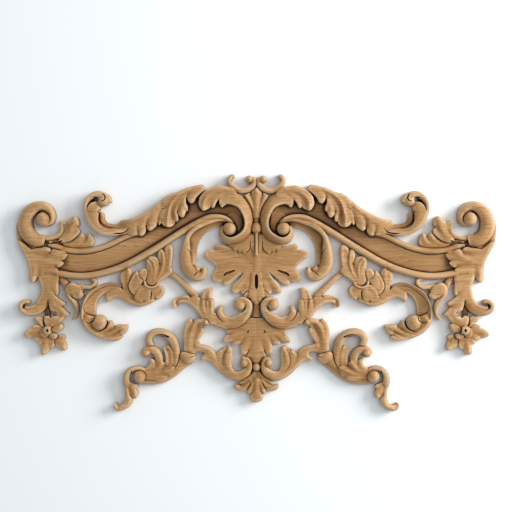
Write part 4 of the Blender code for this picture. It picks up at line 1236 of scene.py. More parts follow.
# %% [markdown]
# ## The bell bud
#
# A small bud fills the gap between the lower scroll and the drop. It has a curl above and a thin
# tail below.

# %% The bell bud
path = [(298, 9), (286, 9.5), (276, 9), (269, 14), (268.5, 20), (275, 22.5)]
finger(path, (6, 4.4, 3.4, 3.4, 3.4, 2.8), (20, 20, 20, 19, 18, 16))
outline = [
    (290, 7), (287, 3), (289, 0), (286, -3.5), (288, -8), (292, -11), (295.5, -10.5), (297, -12),
    (299, -10), (303, -8.5), (307, -5.5), (313, -4), (317, 2), (317, 8), (313, 14), (306, 17),
    (298, 14), (292, 11)
]
creases = [
    ([(297, -11), (301, 0), (306, 9)], 1.4, 2.5, 4), ([(287, 3), (296, 5), (304, 9)], 1.4, 2, 4)
]
leaf(outline, 24, creases, [([(305, 13), (303, 4), (301, -2)], 2, 9, 7)], 6, 4)
outline = [
    (300, 16), (309, 15.5), (315, 11), (317.5, 4), (316.8, -3), (313, -9), (307, -16), (302.5, -22),
    (300.5, -30), (301.5, -37), (306.3, -43.5), (303.8, -45.4), (299, -42), (296.3, -36),
    (295.3, -28), (295.5, -21), (298.5, -14), (303, -9), (306, -3), (305, 5)
]
leaf(
    outline, 20.5, (), [([(314, 6), (312, -5), (303, -18), (298, -30), (303, -43)], 2.5, 3, 2)], 4,
    4
)
finger([(326, 24), (318, 16), (318, 5)], (5, 5.5, 2), (16, 17, 13))
finger([(308, 12), (320, 18), (336, 20)], (4, 4, 5), (13, 13, 14))
slit([(291, 7), (288, 2), (285, -3)], (0.6, 1.0, 1.2), 7)
slit(
    [(287.5, -8.7), (292, -12), (297, -12), (303, -9.5), (308, -6.5)], (0.7, 1.0, 1.0, 0.9, 0.5), 10
)
carved("The bell bud")

# %% [markdown]
# ## The scroll beside the palmette's tip
#
# It curls tightly round its eye and flows outwards into the fleuron.

# %% The scroll beside the palmette's tip
pairs = [
    ((36, -11), (31, -18)), ((22, -7), (25, -16)), ((9.5, -14), (19, -20)), ((7, -26), (19, -28)),
    ((12, -40), (25, -33)), ((24, -53.5), (33, -37)), ((38, -60), (40, -40.5)),
    ((52, -61), (49, -39)), ((66, -57), (58, -38)), ((80, -49), (72, -32))
]
band(pairs, (22, 23, 24, 24, 24, 23, 22, 21, 21, 21), "roll")
eye(28, -20, 9.5, 30, 18)
finger([(46, -50), (57, -42), (61, -32), (57, -21)], (7, 7, 5, 3), (20, 22, 22, 18))
slit(
    [(60, -20), (65, -25.5), (67, -31), (66, -37), (62, -43), (55, -49)],
    (0.5, 0.9, 1.0, 1.0, 0.9, 0.4), 9
)
slit([(33, -36), (28, -33), (22, -31), (17.5, -25), (17, -19)], (0.5, 0.8, 0.9, 0.9, 0.4), 12)
slit([(-2, -42), (2, -42)], 0.8, 9)
carved("The scroll beside the palmette's tip")

# %% [markdown]
# ## The fleuron
#
# A bud with flutes, a pointed leaf above and a curled arm to the side.

# %% The fleuron
outline = [
    (73, -16), (73.5, -8), (74, 0), (72.8, 7.6), (78, 8), (83, 6), (87.5, 2.5), (90.5, -3),
    (92, -9), (92, -16)
]
leaf(
    outline, 21, [([(85, -12), (84, -4), (80, 2)], 1.6, 2, 1)], [([(78, -12), (78, 3)], 1.5, 3, 3)],
    3, 4
)
outline = [
    (70.5, -11), (76, -9.6), (84, -10.4), (92, -9.4), (99, -6.5), (106, -5.5), (110, -8),
    (113, -5.2), (120, -4.6), (128, -6), (134, -9.5), (138, -14), (139.3, -19), (137.3, -23.5),
    (133.3, -24.8), (129.8, -22.3), (130.3, -18.5), (126, -16.4), (119, -16.4), (112.5, -18.8),
    (105, -24.5), (98, -31.5), (92.5, -40), (88, -46), (80, -50), (72, -53), (64, -50), (69.5, -42),
    (71.5, -34), (70.3, -28), (69.5, -19)
]
creases = [
    ([(85, -9), (85, -18), (84, -30)], 3, 1.8, 1.5),
    ([(92.5, -9), (94.5, -17), (95, -27)], 2.2, 2, 2),
    ([(78.5, -9), (79, -20), (79, -28)], 1.8, 1.5, 1.5),
    ([(132.5, -21), (132.3, -13), (126, -10.5), (117, -11)], 7, 3, 2.5)
]
ribs = [
    ([(89, -12), (88, -24), (84, -40)], 1.8, 2.2, 4),
    ([(75, -12), (75, -26), (76, -42)], 1.4, 2.5, 4)
]
leaf(outline, 21.5, creases, ribs, 3.5, 4)
slit([(71.5, -11), (78, -10), (84, -11), (92, -10.4)], (0.4, 0.7, 0.7, 0.6), 15)
slit([(86, -42), (81, -45.5), (77.5, -51)], (0.3, 1.0, 1.4), 9)
carved("The fleuron")

# %% [markdown]
# ## The leaf on the middle line
#
# A five-lobed leaf hangs below the neck. Two small eye holes are bored where its lobes part.

# %% The leaf on the middle line
outline = [
    (-2, -38), (10, -43), (20, -50), (32, -57), (48, -59), (50.3, -63), (49, -67), (44, -69.2),
    (49.5, -70.7), (53.5, -74.5), (56.2, -79.5), (55.3, -83.5), (49, -82.7), (40, -81.8),
    (39.2, -85.7), (32, -86.3), (26, -84.8), (26.4, -93), (26.2, -101.5), (22, -103.4), (17, -102),
    (12.8, -96), (15, -102), (16.2, -107), (14.5, -111), (10.3, -109.3), (9.5, -113.5), (5.5, -118),
    (0, -119.6), (-2, -119.6)
]
creases = [
    ([(44, -69.2), (36, -67), (24, -62)], 1.6, 1.8, 4),
    ([(40, -82), (34, -77), (24, -69)], 2, 2, 5), ([(26, -85), (23, -79), (18, -70)], 2, 2, 4),
    ([(13, -96), (10.5, -89), (8, -78)], 1.6, 2, 4)
]
ribs = [
    ([(54, -78), (42, -75), (30, -69)], 1, 4, 5), ([(0, -117), (0, -96), (0, -80)], 1.4, 5, 6),
    ([(23, -100), (20, -90), (15, -78)], 1, 4, 5)
]
leaf(outline, 16, creases, ribs, 2.8, 4)
slit([(13, -62.8), (14.7, -67)], (1.7, 1.9), 4)
slit([(12.5, -95), (14, -100), (17, -103)], (0.4, 0.8, 0.9), 6)
carved("The leaf on the middle line")

# %% [markdown]
# ## The scroll beside the foot
#
# It curls inwards to a small ball, and leaf tips rise from its back.

# %% The scroll beside the foot
pairs = [
    ((24, -106), (21, -112)), ((12, -109), (16, -115)), ((7, -122), (15, -121)),
    ((12, -137), (20, -126)), ((28, -147), (30, -131)), ((44, -144), (38, -130)),
    ((58, -135), (50, -122)), ((70, -122), (62, -108))
]
band(pairs, (22, 23, 24, 23, 22, 21, 20, 18), "roll", drop=0.9)
eye(20, -117, 7.5, 28, 16)
outline = [
    (58, -93), (62.5, -97.5), (67.5, -101.5), (71, -96.5), (77, -91), (85, -87.8), (94, -86),
    (102, -83), (108, -90), (105, -98.5), (96, -97.5), (88, -99), (86.5, -102.5), (90, -106),
    (93.7, -110), (91, -112.8), (83, -112.8), (76, -115.5), (69, -123), (61, -131), (52, -137),
    (44, -138), (52, -120), (54, -104)
]
creases = [([(67.5, -101.5), (65, -112), (58, -124)], 1.5, 2.5, 4)]
ribs = [
    ([(100, -88), (84, -93), (72, -106), (58, -126)], 2.2, 5, 6),
    ([(91, -110), (80, -107), (72, -110)], 1.8, 3, 4)
]
leaf(outline, 19, creases, ribs, 3, 4)
outline = [
    (40, -97), (40.5, -92.5), (44, -89), (49, -88.6), (54, -92.5), (57.5, -99), (59, -108),
    (58.5, -118), (55, -127), (49, -133.5), (41, -136.5), (34, -134), (37.5, -129), (41, -121),
    (41.5, -112), (40, -104)
]
creases = [([(50, -92), (55, -103), (56.5, -112), (55.5, -121), (48, -132)], 3, 2.5, 2.5)]
ribs = [([(45, -91), (49, -104), (50, -116), (44, -130)], 2.5, 4, 4)]
leaf(outline, 20, creases, ribs, 3, 4)
slit(
    [(50.5, -94.5), (54.8, -104), (57, -112), (56, -120), (51.5, -127.5), (46, -133)],
    (0.3, 0.6, 0.7, 0.6, 0.3), 15
)
slit([(59.5, -96), (62, -96)], (0.9, 0.6), 12)
carved("The scroll beside the foot")

# %% [markdown]
# ## The foot
#
# The carving ends in a small palmette on the middle line, under a ball.

# %% The foot
finger([(0, -108), (0, -126), (0, -150)], (7, 8, 12), 15)
eye(0, -124, 6.5, 24, 17)
outline = [
    (-2, -126), (5, -130), (8, -135), (16, -142), (22, -145), (27.8, -150), (26, -154.3),
    (30, -153.8), (36.4, -152.8), (37.4, -156), (34.5, -160.7), (29, -163.8), (22, -164.4),
    (17.3, -163.4), (13, -158.5), (9.6, -152.6), (4, -158), (-2, -160)
]
creases = [
    ([(26, -154.3), (18, -151), (8, -143)], 3, 1.6, 2),
    ([(9.6, -152.6), (7, -146), (5, -138)], 2.5, 1.8, 2)
]
ribs = [
    ([(6, -136), (18, -145), (26, -150)], 2, 3, 2),
    ([(8, -147), (18, -156), (34, -158)], 2.6, 3.5, 3)
]
leaf(outline, 16, creases, ribs, 4, 4)
outline = [
    (-2, -141), (6, -144), (9, -150), (11, -155), (14.5, -160), (15.8, -165), (14, -168.6),
    (10.4, -169), (11, -173), (10, -178), (6, -181.2), (-2, -182)
]
creases = [([(10.4, -169), (6, -163), (5, -152)], 2.8, 1.6, 2)]
ribs = [
    ([(0, -140), (0, -158), (0, -178)], 2.4, 3, 3),
    ([(8, -152), (11, -160), (12, -166)], 1.6, 2.2, 2)
]
leaf(outline, 18, creases, ribs, 4, 4)
slit([(9, -151), (13, -157.5), (17, -163.8)], (0.5, 1.0, 1.1), 6)
carved("The foot")

# %% [markdown]
# ## The folded leaf
#
# It joins the middle group to the outer one. One half is turned over, which leaves a long bright
# crease.

# %% The folded leaf
finger([(104, -80), (107, -92), (110, -104)], (10, 8.5, 8.5), (19, 19, 19), tip=0)
outline = [
    (80, -50), (84, -44.5), (90, -43.3), (97, -43.6), (103, -45.5), (105.5, -47.8), (107, -44.8),
    (109.5, -43.3), (114, -46.5), (118, -52.5), (120.6, -60), (121.3, -72), (120.3, -85),
    (120, -96), (113, -99), (104.5, -98.5), (102, -90), (98, -82), (92, -73.5), (87.3, -65),
    (88.2, -59), (91.5, -58.5), (87, -55), (82.5, -55)
]
creases = [
    ([(96, -56), (101, -66), (105, -78), (107, -92)], 4, 5, 5),
    ([(105.5, -47.8), (111, -57), (114, -72)], 1.5, 2.5, 4)
]
ribs = [([(86, -47), (98, -50), (106, -60), (110, -74), (111.5, -94)], 4, 5, 5)]
leaf(outline, 20.5, creases, ribs, 3, 4)
eye(84, -49, 6, 27, 16)
finger([(101, -106), (113, -109), (127, -102)], (6, 9.5, 9), (21, 24, 21), root=1)
slit([(104, -49), (107, -46)], (0.6, 1.0), 9)
slit([(87, -53.5), (90.5, -58)], (1.0, 0.6), 9)
slit([(99.5, -101), (105, -101), (112, -99.5), (120, -97.5)], (0.9, 0.9, 0.8, 0.6), 9)
slit([(101, -103), (106, -106.5), (113, -107)], (0.6, 0.9, 0.4), 12)
carved("The folded leaf")

# %% [markdown]
# ## The outer group
#
# Two small scrolls stand on a broad leaf, with a thin leaflet between them.

# %% The outer group
pairs = [
    ((106, -117), (122, -100)), ((120, -127.5), (138, -112)), ((134, -139.5), (148, -124)),
    ((152, -150), (162, -136)), ((173, -153.5), (177, -139)), ((195, -152), (194, -138))
]
band(pairs, (18, 18, 17, 17, 17, 18), "roll", drop=0.9)
pairs = [
    ((127.5, -118), (140, -121)), ((126.5, -104), (138.5, -108)), ((128, -89), (140, -97)),
    ((134, -74), (144, -84)), ((148, -63), (152, -75)), ((165, -59.5), (164, -72)),
    ((178, -64.5), (171, -73)), ((184.5, -76), (173.5, -79)), ((182, -88.5), (170, -87))
]
band(pairs, (19, 20, 21, 23, 24, 25, 25, 24, 21), "roll", drop=1.1)
outline = [
    (136, -120), (136.5, -106), (139.5, -95), (143, -90.8), (145, -88.4), (150, -87.8),
    (154.5, -91), (153.5, -95.5), (151.5, -101), (150.5, -110), (150.5, -121)
]
leaf(outline, 19, [([(151, -93), (147, -100), (146, -118)], 4, 3.5, 3.5)], (), 2.5, 3)
path = [(161, -120), (162, -107), (167.5, -97.5), (178, -94), (187, -97), (188, -104)]
finger(path, (7, 6.5, 6.5, 6, 5, 4), (20, 21, 22, 23, 22, 21), "roll", drop=1.2)
eye(183, -100, 8, 27, 17)
outline = [
    (135, -124), (142, -120.3), (150, -121.8), (152.3, -116.5), (156, -114.8), (158, -106),
    (166, -104), (168, -109), (167.5, -113.5), (171, -111), (177, -109.8), (176.5, -116),
    (181, -123.5), (189, -128), (192, -137), (186, -143.5), (174, -145.5), (160, -147),
    (150, -143.8), (146.8, -139.6), (142, -138.5), (137.5, -132)
]
creases = [
    ([(151, -121), (160, -130), (178, -138)], 3.2, 3, 5),
    ([(146.8, -139.6), (156, -137.5), (172, -140.5)], 2.2, 2.5, 4),
    ([(167.5, -113.5), (168, -123), (178, -133)], 2, 2.5, 4)
]
ribs = [
    ([(139, -125), (150, -130.5), (167, -136)], 3.2, 3.5, 4),
    ([(157, -116), (164, -126), (182, -134)], 2.6, 4, 4)
]
leaf(outline, 20, creases, ribs, 3, 4)
pairs = [
    ((143, -72), (146, -76)), ((151, -67.5), (153, -76)), ((160, -66), (160, -75.5)),
    ((168, -68.5), (166, -76.5)), ((173.2, -74), (170, -79.5)), ((173.5, -81), (171.5, -83))
]
pocket(pairs, 14)
slit([(126.5, -96), (127.5, -106), (130.5, -116), (136, -127.5)], (0.7, 1.0, 1.1, 0.6), 6)
slit([(176, -98), (177.5, -102.5), (181, -106.5)], (0.6, 0.9, 0.5), 12)
slit([(152.5, -101), (153, -110), (151.5, -118)], (1.0, 1.4, 1.0), 6)
carved("The outer group")

# %% [markdown]
# ## The tail
#
# The lowest leaf curls round a ball and runs out in a thin hooked tail.

# %% The tail
path = [
    (184, -133), (189, -127.5), (198, -125.5), (208, -128), (215, -137), (215.5, -149), (211, -158)
]
finger(path, (3, 3.2, 3.6, 4.6, 5.2, 6, 8), (20, 22, 24, 25, 25, 24, 21), root=1)
eye(194, -139.5, 10.5, 31, 18)
outline = [
    (209, -149), (203, -151.5), (198.5, -153), (197.2, -157.5), (200, -160.5), (196.4, -165.5),
    (197, -172), (200.5, -176.3), (204.5, -174.5), (209.3, -170.3), (207.2, -175), (206, -181),
    (208.7, -187.5), (214.5, -192.5), (222, -196), (228.5, -197.3), (234, -194.5), (237, -189.5),
    (235.8, -184.7), (232.5, -183.4), (231.2, -186.8), (226, -187.6), (220.8, -184.5),
    (217.5, -178), (216.6, -168), (218.5, -157), (220, -147), (215, -143)
]
creases = [
    ([(209.3, -170.3), (211.5, -161), (213, -150)], 2.2, 2, 3),
    ([(233, -186), (230, -190), (222, -191)], 3, 2, 1.5)
]
ribs = [
    ([(200, -173), (203.5, -163), (210, -153)], 2, 3, 3),
    ([(226, -192), (216, -188.5), (212, -180), (214, -166)], 2.2, 2.2, 3)
]
leaf(outline, 20, creases, ribs, 3, 3.5)
slit([(206, -129.5), (208.3, -136), (208.3, -144), (203, -150.5)], (0.7, 1.9, 2.0, 0.8), 8)
carved("The tail")

# %% [markdown]
# ## Plain meshes from the tree
#
# The tree is evaluated once for each path, its result is kept as a plain mesh, and the modifier is
# removed. The sections' loops have done their work then and are removed too.

# %% Plain meshes from the tree
bpy.context.view_layer.update()
graph = bpy.context.evaluated_depsgraph_get()
for obj in solids + cutters:
    if not obj.modifiers:
        continue
    swept = bpy.data.meshes.new_from_object(obj.evaluated_get(graph))
    obj.modifiers.clear()
    bm = bmesh.new()
    bm.from_mesh(swept)
    bmesh.ops.recalc_face_normals(bm, faces=bm.faces)
    bm.to_mesh(swept)
    bm.free()
    obj.data = swept
for loop in section_store.values():
    bpy.data.objects.remove(loop)
print("swept:", sum(len(piece.data.polygons) for piece in solids), "faces of wood")

# %% [markdown]
# ## Joining, cutting and halving
#
# All wood of the right half is joined into one solid with Booleans. Joining two by two keeps each
# Boolean small, and the Manifold solver is quick and leaves no gaps. The cuts are joined in the same
# way and taken away. A box then keeps what stands in front of the back and right of the middle line.


# %% Joining, cutting and halving
HALF_WIDTH = 0.8  # the box's sizes, which only have to clear the carving
HALF_DEPTH = 0.1
HALF_HEIGHT = 0.8


def settle(piece):
    """Turns an object's modifiers into its mesh."""
    bpy.context.view_layer.update()
    graph = bpy.context.evaluated_depsgraph_get()
    mesh = bpy.data.meshes.new_from_object(piece.evaluated_get(graph))
    piece.modifiers.clear()
    piece.data = mesh


def boolean(pairs, operation):
    """Joins each pair, or takes the second from the first, or keeps their overlap."""
    for target, other in pairs:
        modifier = target.modifiers.new(operation.title(), "BOOLEAN")
        modifier.operation = operation
        modifier.object = other
        modifier.solver = "MANIFOLD"
    bpy.context.view_layer.update()
    graph = bpy.context.evaluated_depsgraph_get()
    made = [bpy.data.meshes.new_from_object(target.evaluated_get(graph)) for target, _ in pairs]
    for (target, other), mesh in zip(pairs, made):
        target.modifiers.clear()
        target.data = mesh
        bpy.data.objects.remove(other)


def fuse(pieces):
    """Joins pieces two by two until one is left, which keeps each join small."""
    while len(pieces) > 1:
        pairs = list(zip(pieces[0::2], pieces[1::2]))
        boolean(pairs, "UNION")
        pieces = [target for target, _ in pairs] + pieces[len(pairs) * 2:]
    return pieces[0]


def right_side_box():
    """A box over the front of the right half, from the back and the middle line outwards."""
    bm = bmesh.new()
    bmesh.ops.create_cube(bm, size=1.0)
    for vert in bm.verts:
        vert.co.x = (vert.co.x + 0.5) * HALF_WIDTH
        vert.co.y = (vert.co.y - 0.5) * HALF_DEPTH
        vert.co.z = vert.co.z * HALF_HEIGHT
    mesh = bpy.data.meshes.new("right side")
    bm.to_mesh(mesh)
    bm.free()
    return add_object("right side", mesh)


carving = fuse(solids)
print("joined:", len(carving.data.polygons), "faces")
boolean([(carving, fuse(cutters))], "DIFFERENCE")
boolean([(carving, right_side_box())], "INTERSECT")
print("cut:", len(carving.data.polygons), "faces")

# %% [markdown]
# ## Thinning
#
# The half is thinned to just under 97,000 triangles, so that the whole carving has fewer than
# 200,000. It is still closed then, with a cap on the middle line, and the cap keeps that edge straight.

# %% Thinning
MOST_TRIANGLES = 97000  # in each half
carving.data.calc_loop_triangles()
ratio = MOST_TRIANGLES / len(carving.data.loop_triangles)
if ratio < 1:
    thinner = carving.modifiers.new("Thinner", "DECIMATE")
    thinner.ratio = ratio
    settle(carving)
print("thinned to", round(min(ratio, 1.0), 2), "of its triangles")

# %% [markdown]
# ## How far each point lies below its surroundings
#
# Grooves and hollows are darkened below, partly as stain and partly as painted shade, and arrises are
# paled, partly as wear and partly as a painted highlight. To find both, a height map of the half is
# probed with rays from the front and then blurred, once a little and once a lot. Where the surface
# lies below the blurred map it is a groove or a sheltered hollow, and where it lies above, an arris.

# %% A height map, and a blur
CELL = 1.6  # the map's cells, in mm
MAP_START, MAP_END = -24, 425  # how far the map reaches across, with a strip past the middle line
MAP_BOTTOM, MAP_TOP = -224, 225
BLUR = 3.2  # reach of the small blur, in mm
WIDE_BLUR = 9.0
CLOSE = 0.00002  # in metres: nearer than this to the middle line is on it


def height_map(mesh):
    """Heights of the half on a grid of cells, in levels."""
    faces = [tuple(face.vertices) for face in mesh.polygons]
    tree = BVHTree.FromPolygons([vertex.co for vertex in mesh.vertices], faces)
    across = np.arange(MAP_START, MAP_END, CELL)
    up = np.arange(MAP_BOTTOM, MAP_TOP, CELL)
    toward = Vector((0, 1, 0))
    rows = []
    for z in up:
        row = []
        for x in across:
            start = Vector((abs(x) * MM + CLOSE, -HALF_DEPTH, z * MM))
            hit = tree.ray_cast(start, toward)[0]
            row.append(0.0 if hit is None else -hit.y / MM)
        rows.append(row)
    return across, up, np.array(rows)


def blurred(field, reach):
    """The map averaged with its surroundings, by a bell curve of the given reach."""
    steps = np.arange(-int(3 * reach / CELL), int(3 * reach / CELL) + 1)
    weights = np.exp(-((steps * CELL / reach) ** 2) / 2)
    weights /= weights.sum()
    for axis in (0, 1):
        field = sum(w * np.roll(field, int(s), axis) for w, s in zip(weights, steps))
    return field


def probed(field, across, up, spots):
    """The map's values at points, between its cells."""
    u = np.clip((np.abs(spots[:, 0]) / MM - across[0]) / CELL, 0, len(across) - 2)
    v = np.clip((spots[:, 2] / MM - up[0]) / CELL, 0, len(up) - 2)
    i, j = u.astype(int), v.astype(int)
    a, b = u - i, v - j
    low = field[j, i] * (1 - a) + field[j, i + 1] * a
    high = field[j + 1, i] * (1 - a) + field[j + 1, i + 1] * a
    return low * (1 - b) + high * b


across, up, heights = height_map(carving.data)
near, wide = blurred(heights, BLUR), blurred(heights, WIDE_BLUR)
print("height map:", heights.shape, "highest", round(heights.max(), 1), "mm")

# %% [markdown]
# ## The left half
#
# Thinning can leave a few slivers that hang on an edge, so they are taken off first. Then the cap on
# the middle line goes, and the left half is mirrored from the right one and merged with it there.


# %% The left half
MERGE = 0.00001  # in metres
SHARP = 38  # an edge that bends more than this many degrees is shaded as an arris


def healed(bm):
    """Takes away doubled faces, faces that hang on a closed edge, and lone faces."""
    twins = {}
    for face in bm.faces:
        twins.setdefault(frozenset(face.verts), []).append(face)
    stray = {face for faces in twins.values() if len(faces) > 1 for face in faces}
    for edge in bm.edges:
        if len(edge.link_faces) > 2:
            for face in edge.link_faces:
                if any(len(side.link_faces) == 1 for side in face.edges):
                    stray.add(face)
    bmesh.ops.delete(bm, geom=list(stray), context="FACES")
    lone = [face for face in bm.faces if all(len(side.link_faces) == 1 for side in face.edges)]
    bmesh.ops.delete(bm, geom=lone, context="FACES")
    print("slivers taken away:", len(stray) + len(lone))


bm = bmesh.new()
bm.from_mesh(carving.data)
healed(bm)
on_line = [face for face in bm.faces if all(abs(vert.co.x) < CLOSE for vert in face.verts)]
bmesh.ops.delete(bm, geom=on_line, context="FACES")
for vert in bm.verts:
    if abs(vert.co.x) < CLOSE:
        vert.co.x = 0.0
bm.to_mesh(carving.data)
bm.free()
other_half = carving.modifiers.new("Left half", "MIRROR")
other_half.use_mirror_merge = True
other_half.merge_threshold = MERGE
settle(carving)
mesh = carving.data
mesh.calc_loop_triangles()
bm = bmesh.new()
bm.from_mesh(mesh)
unclosed = sum(len(edge.link_faces) != 2 for edge in bm.edges)
bm.free()
print("triangles:", len(mesh.loop_triangles), "edges without two faces:", unclosed)
carving.name = "carved_pediment"
mesh.name = "carved_pediment"
mesh.materials.clear()
mesh.materials.append(oak)
mesh.shade_smooth()
mesh.set_sharp_from_angle(angle=math.radians(SHARP))

# %% [markdown]
# ## Fit to the CAD box
#
# The marks were drawn to a tenth of a millimetre or so, and the packed model's box is exact. So each
# axis is stretched by a hair to meet it. The depths below the blurred maps are then stored on the
# points. At the back's rim they are held down, because a sawn edge isn't a groove.

# %% Fit to the CAD box
BACK_EDGE = 1.0  # points below this level belong to the back and its rim
BACK_GROOVE = 1.9  # most depth that such a point is given in the small map
BACK_SHELTER = 7.0  # and in the wide one
spots = np.empty(len(mesh.vertices) * 3, np.float32)
mesh.vertices.foreach_get("co", spots)
spots = spots.reshape(-1, 3)
print("before fitting:", spots.min(0), spots.max(0))
low, high = np.array(cad_box)
for k in (0, 1, 2):
    share = (spots[:, k] - spots[:, k].min()) / (spots[:, k].max() - spots[:, k].min())
    spots[:, k] = low[k] + share * (high[k] - low[k])
mesh.vertices.foreach_set("co", spots.ravel())
mesh.update()
levels = -spots[:, 1] / MM
at_back = levels < BACK_EDGE
for name, field, most in (("groove", near, BACK_GROOVE), ("shelter", wide, BACK_SHELTER)):
    depths = probed(field, across, up, spots) - levels
    float_attribute(mesh, name, np.where(at_back, np.minimum(depths, most), depths))

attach(carving, "root")
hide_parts("pediment")

# %% [markdown]
# ## Shader sums written as Python
#
# `Value` wraps one socket of a material. Its operators add the Math nodes, so a mask can be written
# as `1 - pores * 0.5`. Every other node comes from `Recipe.node`, which takes the node's type, its
# settings and the values or links of its sockets.


# %% A small language for materials
class Value:
    """A shader socket that takes part in sums."""

    def __init__(self, recipe, socket):
        self.recipe = recipe
        self.socket = socket

    def maths(self, operation, first, second):
        return self.recipe.node("ShaderNodeMath", {"operation": operation}, {0: first, 1: second})

    def __add__(self, other):
        return self.maths("ADD", self, other)

    def __radd__(self, other):
        return self.maths("ADD", other, self)

    def __sub__(self, other):
        return self.maths("SUBTRACT", self, other)

    def __rsub__(self, other):
        return self.maths("SUBTRACT", other, self)

    def __mul__(self, other):
        return self.maths("MULTIPLY", self, other)

    def __rmul__(self, other):
        return self.maths("MULTIPLY", other, self)

    def __pow__(self, other):
        return self.maths("POWER", self, other)

    def __rpow__(self, other):
        return self.maths("POWER", other, self)


class Recipe:
    """A material whose nodes are added one by one."""

    def __init__(self, material):
        material.use_nodes = True
        self.tree = material.node_tree
        self.shader = self.tree.nodes["Principled BSDF"]

    def feed(self, target, source):
        """Links a value to a socket, or sets a plain number or colour on it."""
        if isinstance(source, Value):
            self.tree.links.new(source.socket, target)
        else:
            target.default_value = source

    def node(self, kind, settings=None, inputs=None, output=0):
        """Adds a node: first its settings, then its sockets by number or identifier."""
        made = self.tree.nodes.new(kind)
        for key, value in (settings or {}).items():
            setattr(made, key, value)
        named = {socket.identifier: socket for socket in made.inputs}
        for key, source in (inputs or {}).items():
            self.feed(made.inputs[key] if isinstance(key, int) else named[key], source)
        return Value(self, made.outputs[output])

    def ranged(self, value, low, high):
        """0 at `low` and 1 at `high`, with a smooth step between."""
        settings = {"interpolation_type": "SMOOTHSTEP"}
        return self.node("ShaderNodeMapRange", settings, {0: value, 1: low, 2: high})

    def mixed(self, factor, first, second):
        """One colour where the factor is 0, the other where it is 1."""
        inputs = {"Factor_Float": factor, "A_Color": first, "B_Color": second}
        return self.node("ShaderNodeMix", {"data_type": "RGBA"}, inputs, 2)

    def grain(self, place, stretch, scale, detail=2.0):
        """Noise that is drawn out along X."""
        settings = {"operation": "MULTIPLY"}
        longer = self.node("ShaderNodeVectorMath", settings, {0: place, 1: stretch})
        inputs = {"Vector": longer, "Scale": scale, "Detail": detail, "Roughness": 0.5}
        return self.node("ShaderNodeTexNoise", {"noise_dimensions": "3D"}, inputs)


print("a recipe can be given:", [name for name in vars(Recipe) if not name.startswith("__")])

# %% [markdown]
# ## Oak
#
# The board's grain runs along X. Its growth rings are circles round the log's heart, which lies well
# below and behind the board, so on the flat face they run level and on a carved slope they bend. Oak
# also has pores, which show as short dark dashes along the grain, and pale flecks. Every mask below
# is 0 to 1 and comes from Object coordinates, so the pattern goes through the wood as it would in a
# real board.

# %% Oak's grain
HEART_BACK, HEART_UP = 0.34, -0.75  # the log's heart, as y and z in metres
RINGS = 210  # rings in a metre
SWAY = 0.05  # how far the rings wander in long bends, in metres
FLOW = 0.006  # and in short ones
RING_SHARE = 0.65  # share of the pores that keeps to the rings
recipe = Recipe(oak)
place = recipe.node("ShaderNodeTexCoord", output=3)
split = recipe.node("ShaderNodeSeparateXYZ", None, {0: place})
y, z = (Value(recipe, split.socket.node.outputs[k]) for k in (1, 2))
sway = recipe.grain(place, (1.0, 4.0, 4.0), 5.0, 2.0)
flow = recipe.grain(place, (3.0, 14.0, 14.0), 6.0, 3.0)
plain = ((y - HEART_BACK) ** 2 + (z - HEART_UP) ** 2) ** 0.5
radius = plain + (sway - 0.5) * SWAY + (flow - 0.5) * FLOW
ring = recipe.node("ShaderNodeMath", {"operation": "FRACT"}, {0: radius * RINGS})
ring = recipe.ranged(ring, 0.0, 0.75) * recipe.ranged(ring, 1.0, 0.8)
fleck = recipe.ranged(recipe.grain(place, (26.0, 520.0, 520.0), 1.4, 1.0), 0.6, 0.72)
dashes = recipe.ranged(recipe.grain(place, (42.0, 620.0, 620.0), 1.0, 1.0), 0.6, 0.7)
pores = dashes * ((1 - RING_SHARE) + ring * RING_SHARE)
tone = recipe.ranged(recipe.grain(place, (2.2, 7.0, 7.0), 2.2, 3.0), 0.3, 0.7)
streak = recipe.ranged(recipe.grain(place, (5.0, 130.0, 130.0), 1.1, 2.0), 0.3, 0.7)
print("oak's grain:", len(recipe.tree.nodes), "nodes")

# %% [markdown]
# ## Stain, wear, painted shade and painted highlight
#
# The two depths that were stored on the points, in mm, become masks here. The wide one darkens the
# sheltered hollows, partly as stain and partly as painted shade. The small one paints shade into the
# grooves, fills the deepest with a near-black painted shadow and dark filler, and pales the arrises,
# partly as wear and partly as a painted highlight. The flat back gets none of this, so a mask on y
# keeps it plain.

# %% Stain, wear and painted shade
RIM_START, RIM_END = -0.0003, -0.0015  # the y in metres between which the stain and the painted shade set in
groove = recipe.node("ShaderNodeAttribute", {"attribute_name": "groove"}, output=2)
shelter = recipe.node("ShaderNodeAttribute", {"attribute_name": "shelter"}, output=2)
ahead = recipe.ranged(y, RIM_START, RIM_END)
# painted highlight and wear: arrises that stand above their surroundings are paled
wear_and_highlight = recipe.ranged(groove, -0.9, -3.6)
# painted shade and stain: hollows that lie below their wide surroundings are darkened
stain_and_shade = recipe.ranged(shelter, -1.5, 8.0) * ahead
# painted shade: grooves are darkened by how far they lie below their close surroundings
shaded = recipe.ranged(groove, 0.0, 2.6) * ahead
# painted shadow and dark filler: the deepest grooves and slits are made near black
filler_and_shadow = recipe.ranged(groove, 1.4, 4.8) * ahead
print("with stain and wear:", len(recipe.tree.nodes), "nodes")
